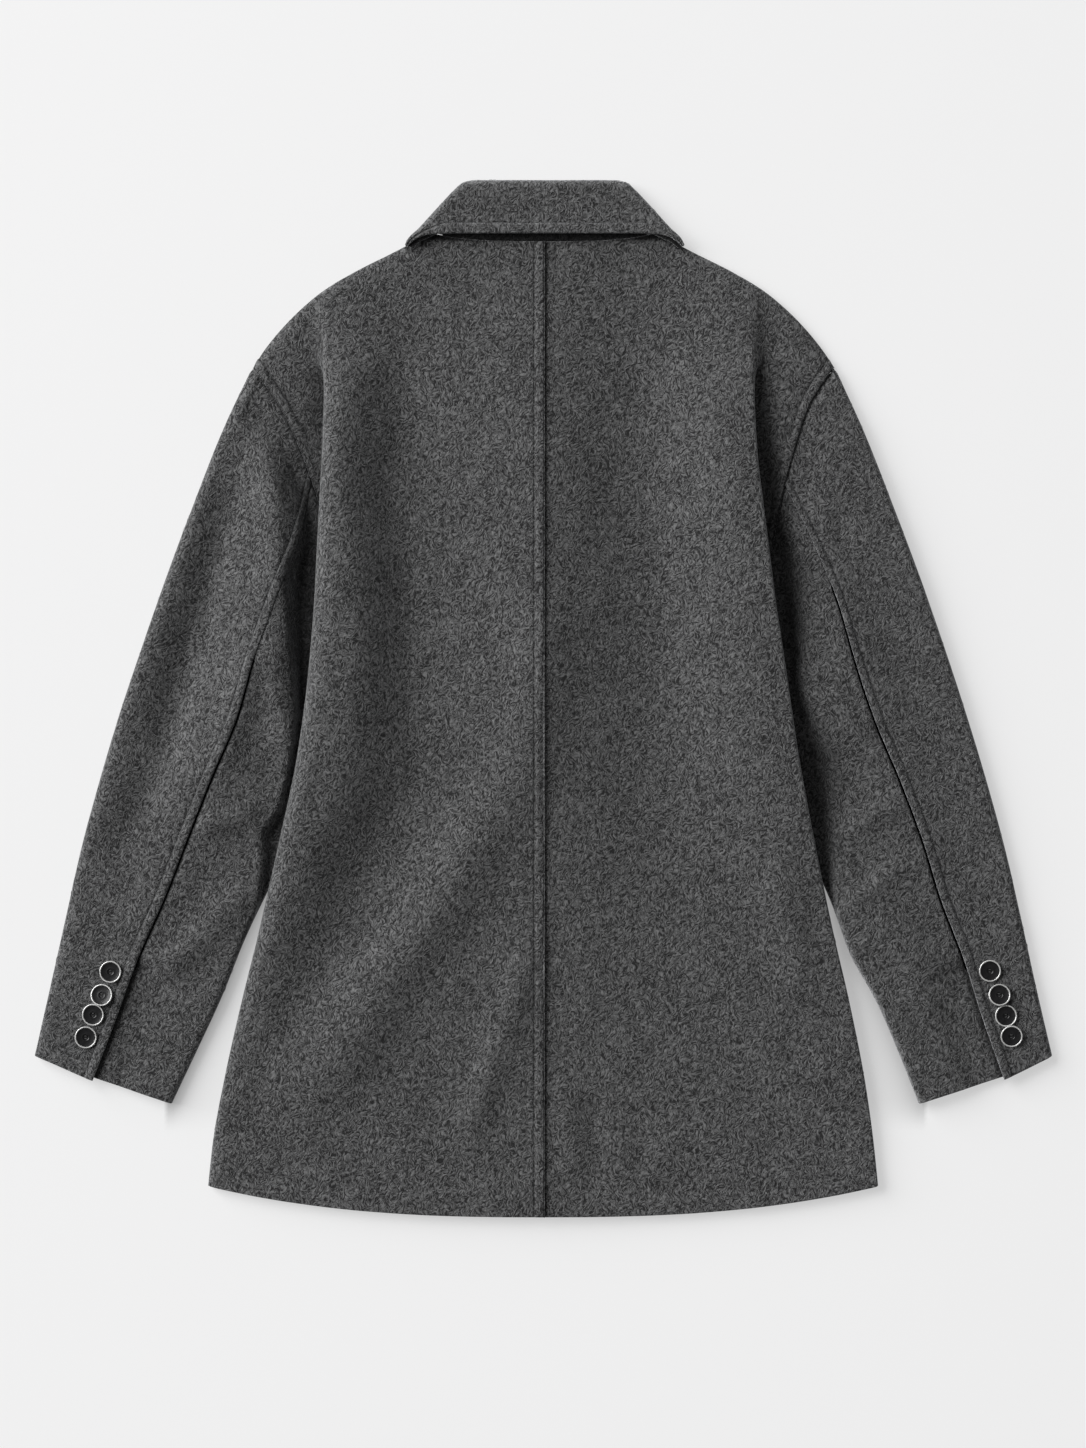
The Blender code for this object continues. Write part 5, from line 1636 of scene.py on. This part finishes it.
class COAT_OT_back(bpy.types.Operator):
    """Makes the two halves of the back, with the fold along each edge"""

    bl_idname = "coat.back"
    bl_label = "Back"

    def execute(self, context):
        cloth = context.scene.coat_cloth
        height, sink = cloth.band_height / MM, cloth.stitch_sink / MM
        for side, word in SIDES.items():
            points, on_armhole = back_grid(side)
            to_armhole = reach(points, "last column")
            relief = (band(to_armhole, height) + stitch_dip(to_armhole, sink)) * on_armhole
            to_middle = reach(points, "first column")
            # Painted shade: the hollow beside the fold, lines along the seams and stitches, and
            # the shadow under the collar's free edge.
            edge_column = len(NEAR_SEAM) + len(BACK_SPREAD) + len(ROUND_OVER)
            turned = np.arange(points.shape[1]) > edge_column + 1
            beyond = smooth((side * points[..., 0] - BODY[side].at("edge", points[..., 1])) / 4)
            shade = fold_hollow_shade(side, points) * np.maximum(turned, beyond)
            lines = groove_shade(to_armhole, *SEAM_LINE) + groove_shade(to_armhole - BAND_WIDTH, *STITCH_LINE)
            shade = shade + lines * on_armhole + fall_shadow(points)
            if side == LEFT:
                relief = relief + band(to_middle, height) + stitch_dip(to_middle, sink)
                shade = shade + groove_shade(to_middle - BAND_WIDTH, *MIDDLE_STITCH_LINE)
            shade = shade + groove_shade(to_middle, *MIDDLE_SEAM_LINE)
            seams = (("first row", HALF_GAP), ("first column", HALF_GAP),
                     ("last column", ARMHOLE_GAP))
            edges = {"first row": 0.8, "last row": 0.9,
                     "first column": 0.7 if side == LEFT else 0.3, "last column": 0.6}
            cloth_piece(f"back_{word}", points, -side, edges,
                        relief=relief, level=on_shoulder(points), seams=seams, shade=shade)
        return {"FINISHED"}


class COAT_OT_fronts(bpy.types.Operator):
    """Makes the two wrapped fronts that lie on the table"""

    bl_idname = "coat.fronts"
    bl_label = "Fronts"

    def execute(self, context):
        for side, word in SIDES.items():
            points = front_grid(side)
            cloth_piece(f"front_{word}", points, -side,
                        {"last row": 0.8, "last column": 0.8}, level=on_shoulder(points),
                        seams=(("first row", HALF_GAP), ("first column", HALF_GAP)))
        return {"FINISHED"}


class COAT_OT_sleeves(bpy.types.Operator):
    """Makes the upper and under sleeves, with the vents at the cuffs"""

    bl_idname = "coat.sleeves"
    bl_label = "Sleeves"

    def execute(self, context):
        cloth = context.scene.coat_cloth
        height, sink = cloth.band_height / MM, cloth.stitch_sink / MM
        for side, word in SIDES.items():
            for under, kind in ((False, "upper"), (True, "under")):
                points, thick, out = sleeve_grid(side, under)
                vent = smooth((SLEEVE_ROWS[:, None] - VENT_FROM) / 0.025)
                to_armhole = reach(points, "first row")
                # Painted shade: the hollow beside the body's fold, lines along the armhole, the
                # back seam and its stitches, and the shadow beside the vent's lapped edge.
                shade = fold_hollow_shade(side, points) + groove_shade(to_armhole, *ARMHOLE_LINE[side])
                if under:
                    relief = -SEAM_SINK * smooth(1 - out / 3) * (1 - vent)
                    shade = shade + groove_shade(np.maximum(out, 0), 0.8, 0.9 + 2.6 * vent)
                else:
                    relief = band(out, height) + stitch_dip(out, sink)
                    relief = relief + VENT_LIFT * vent * smooth(1 - out / 18)
                    shade = shade + groove_shade(out - BAND_WIDTH, *SLEEVE_STITCH_LINE)
                relief = relief - ARMHOLE_SINK * smooth(1 - to_armhole / 7)
                seams = (("first row", -SEAM_LAP),
                         ("first column", -SEAM_LAP if under else HALF_GAP),
                         ("last column", HALF_GAP))
                edges = {"first row": 0.4, "last row": 0.9, "first column": 0.12 if under else 0.8}
                cloth_piece(f"sleeve_{kind}_{word}", points, side if under else -side,
                            edges, relief=relief, seams=seams, thick=thick, shade=shade)
        return {"FINISHED"}


class COAT_OT_collar(bpy.types.Operator):
    """Makes the collar's outside, its lining and its stand"""

    bl_idname = "coat.collar"
    bl_label = "Collar"

    def execute(self, context):
        cloth = context.scene.coat_cloth
        points, shelf, dip = collar_upper_grid()
        relief = shelf * cloth.band_height / MM + dip * cloth.stitch_sink / MM
        edges = {"first row": 0.9, "first column": 0.7, "last column": 0.7}
        # Painted shade in the collar's stitch line, over its lining under the fall, more at the
        # lining's peeking ends, and over the stand.
        cloth_piece("collar_upper", points, 1, edges, relief=relief,
                    shade=COLLAR_STITCH_SHADE * np.clip(-dip, 0, 1) ** 2)
        points = collar_under_grid()
        cloth_piece("collar_under", points, 1, edges,
                    shade=UNDER_COLLAR_SHADE + UNDER_PEEK_SHADE * collar_ends(points))
        cloth_piece("collar_stand", collar_stand_grid(), 1, edges,
                    shade=STAND_SHADE)
        return {"FINISHED"}


class COAT_OT_buttons(bpy.types.Operator):
    """Makes the cuff buttons and the thread that holds them"""

    bl_idname = "coat.buttons"
    bl_label = "Buttons"

    def execute(self, context):
        colours = context.scene.coat_finish
        mesh = button_mesh(colours)
        thread = finish_named("sewing thread", thread_finish, colours)
        for side, word in SIDES.items():
            sleeve = bpy.data.objects[f"coat_sleeve_upper_{word}"]
            places = button_places(side, sleeve)
            for number, place in enumerate(places, 1):
                button = bpy.data.objects.new(f"coat_button_{word}_{number}", mesh)
                context.scene.collection.objects.link(button)
                button.matrix_world = place
                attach(button, "root")
                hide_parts(f"button_{word}_{number}")
            sewn = tubes(f"button_thread_{word}", button_threads(places), BUTTON_THREAD, 6, thread)
        return {"FINISHED"}


class COAT_OT_stitching(bpy.types.Operator):
    """Makes the topstitches along the pressed seams and the collar's edge"""

    bl_idname = "coat.stitching"
    bl_label = "Stitching"

    def execute(self, context):
        cloth = context.scene.coat_cloth
        thread = finish_named("sewing thread", thread_finish, context.scene.coat_finish)
        for name, points, normal in self.paths():
            lines = stitch_lines(points, normal, cloth)
            sewn = tubes(f"stitching_{name}", lines, cloth.thread_radius / MM, 6, thread)
        return {"FINISHED"}

    @staticmethod
    def paths():
        """Name, points and normals of every line of topstitches."""
        points, normal, _ = CLOTH["back_left"]
        yield "middle", points[2:-2, STITCH_COLUMN], normal[2:-2, STITCH_COLUMN]
        for side, word in SIDES.items():
            points, normal, _ = CLOTH[f"back_{word}"]
            seen = (points[:, -1, 1] > ARMHOLE[side].place[0] + 30) & (points[:, -1, 2] > 6.5)
            column = -1 - STITCH_COLUMN
            yield f"armhole_{word}", points[seen, column], normal[seen, column]
            points, normal, _ = CLOTH[f"sleeve_upper_{word}"]
            yield f"sleeve_{word}", points[4:-2, STITCH_COLUMN], normal[4:-2, STITCH_COLUMN]
        points, normal, _ = CLOTH["collar_upper"]
        yield "collar", points[STITCH_COLUMN, 4:-4], normal[STITCH_COLUMN, 4:-4]


class COAT_OT_stray_fibres(bpy.types.Operator):
    """Scatters loose fibres on the cloth"""

    bl_idname = "coat.stray_fibres"
    bl_label = "Stray fibres"

    def execute(self, context):
        count = context.scene.coat_cloth.fibre_count
        spread = np.random.default_rng(SEED)
        lines = np.concatenate([fibre_lines(*CLOTH[name], int(count * share), spread)
                                for name, share in FIBRE_SHARES.items()])
        radius = spread.uniform(*FIBRE_RADIUS, len(lines))
        fibre = finish_named("loose wool fibre", fibre_finish)
        piece = tubes("stray_fibres", lines, radius, 3, fibre)
        return {"FINISHED"}


class COAT_PT_pieces(bpy.types.Panel):
    """Lists the coat's operators and settings"""

    bl_idname = "COAT_PT_pieces"
    bl_label = "Laid coat"
    bl_space_type = "VIEW_3D"
    bl_region_type = "UI"
    bl_category = "Coat"

    def draw(self, context):
        for kind in OPERATORS:
            self.layout.operator(kind.bl_idname)
        for name, group in GROUPS.items():
            box = self.layout.box()
            for setting in group.__annotations__:
                box.prop(getattr(context.scene, name), setting)


OPERATORS = (
    COAT_OT_stage,
    COAT_OT_fronts,
    COAT_OT_back,
    COAT_OT_sleeves,
    COAT_OT_collar,
    COAT_OT_buttons,
    COAT_OT_stitching,
    COAT_OT_stray_fibres,
)
GROUPS = {
    "coat_cloth": ClothSettings,
    "coat_finish": FinishSettings,
    "coat_stage": StageSettings,
}


def register():
    for kind in (*GROUPS.values(), *OPERATORS, COAT_PT_pieces):
        bpy.utils.register_class(kind)
    for name, group in GROUPS.items():
        setattr(bpy.types.Scene, name, bpy.props.PointerProperty(type=group))


def unregister():
    for name in GROUPS:
        delattr(bpy.types.Scene, name)
    for kind in reversed((*GROUPS.values(), *OPERATORS, COAT_PT_pieces)):
        bpy.utils.unregister_class(kind)


def main():
    register()
    for kind in OPERATORS:
        group, name = kind.bl_idname.split(".")
        getattr(getattr(bpy.ops, group), name)()


if __name__ == "__main__":
    main()
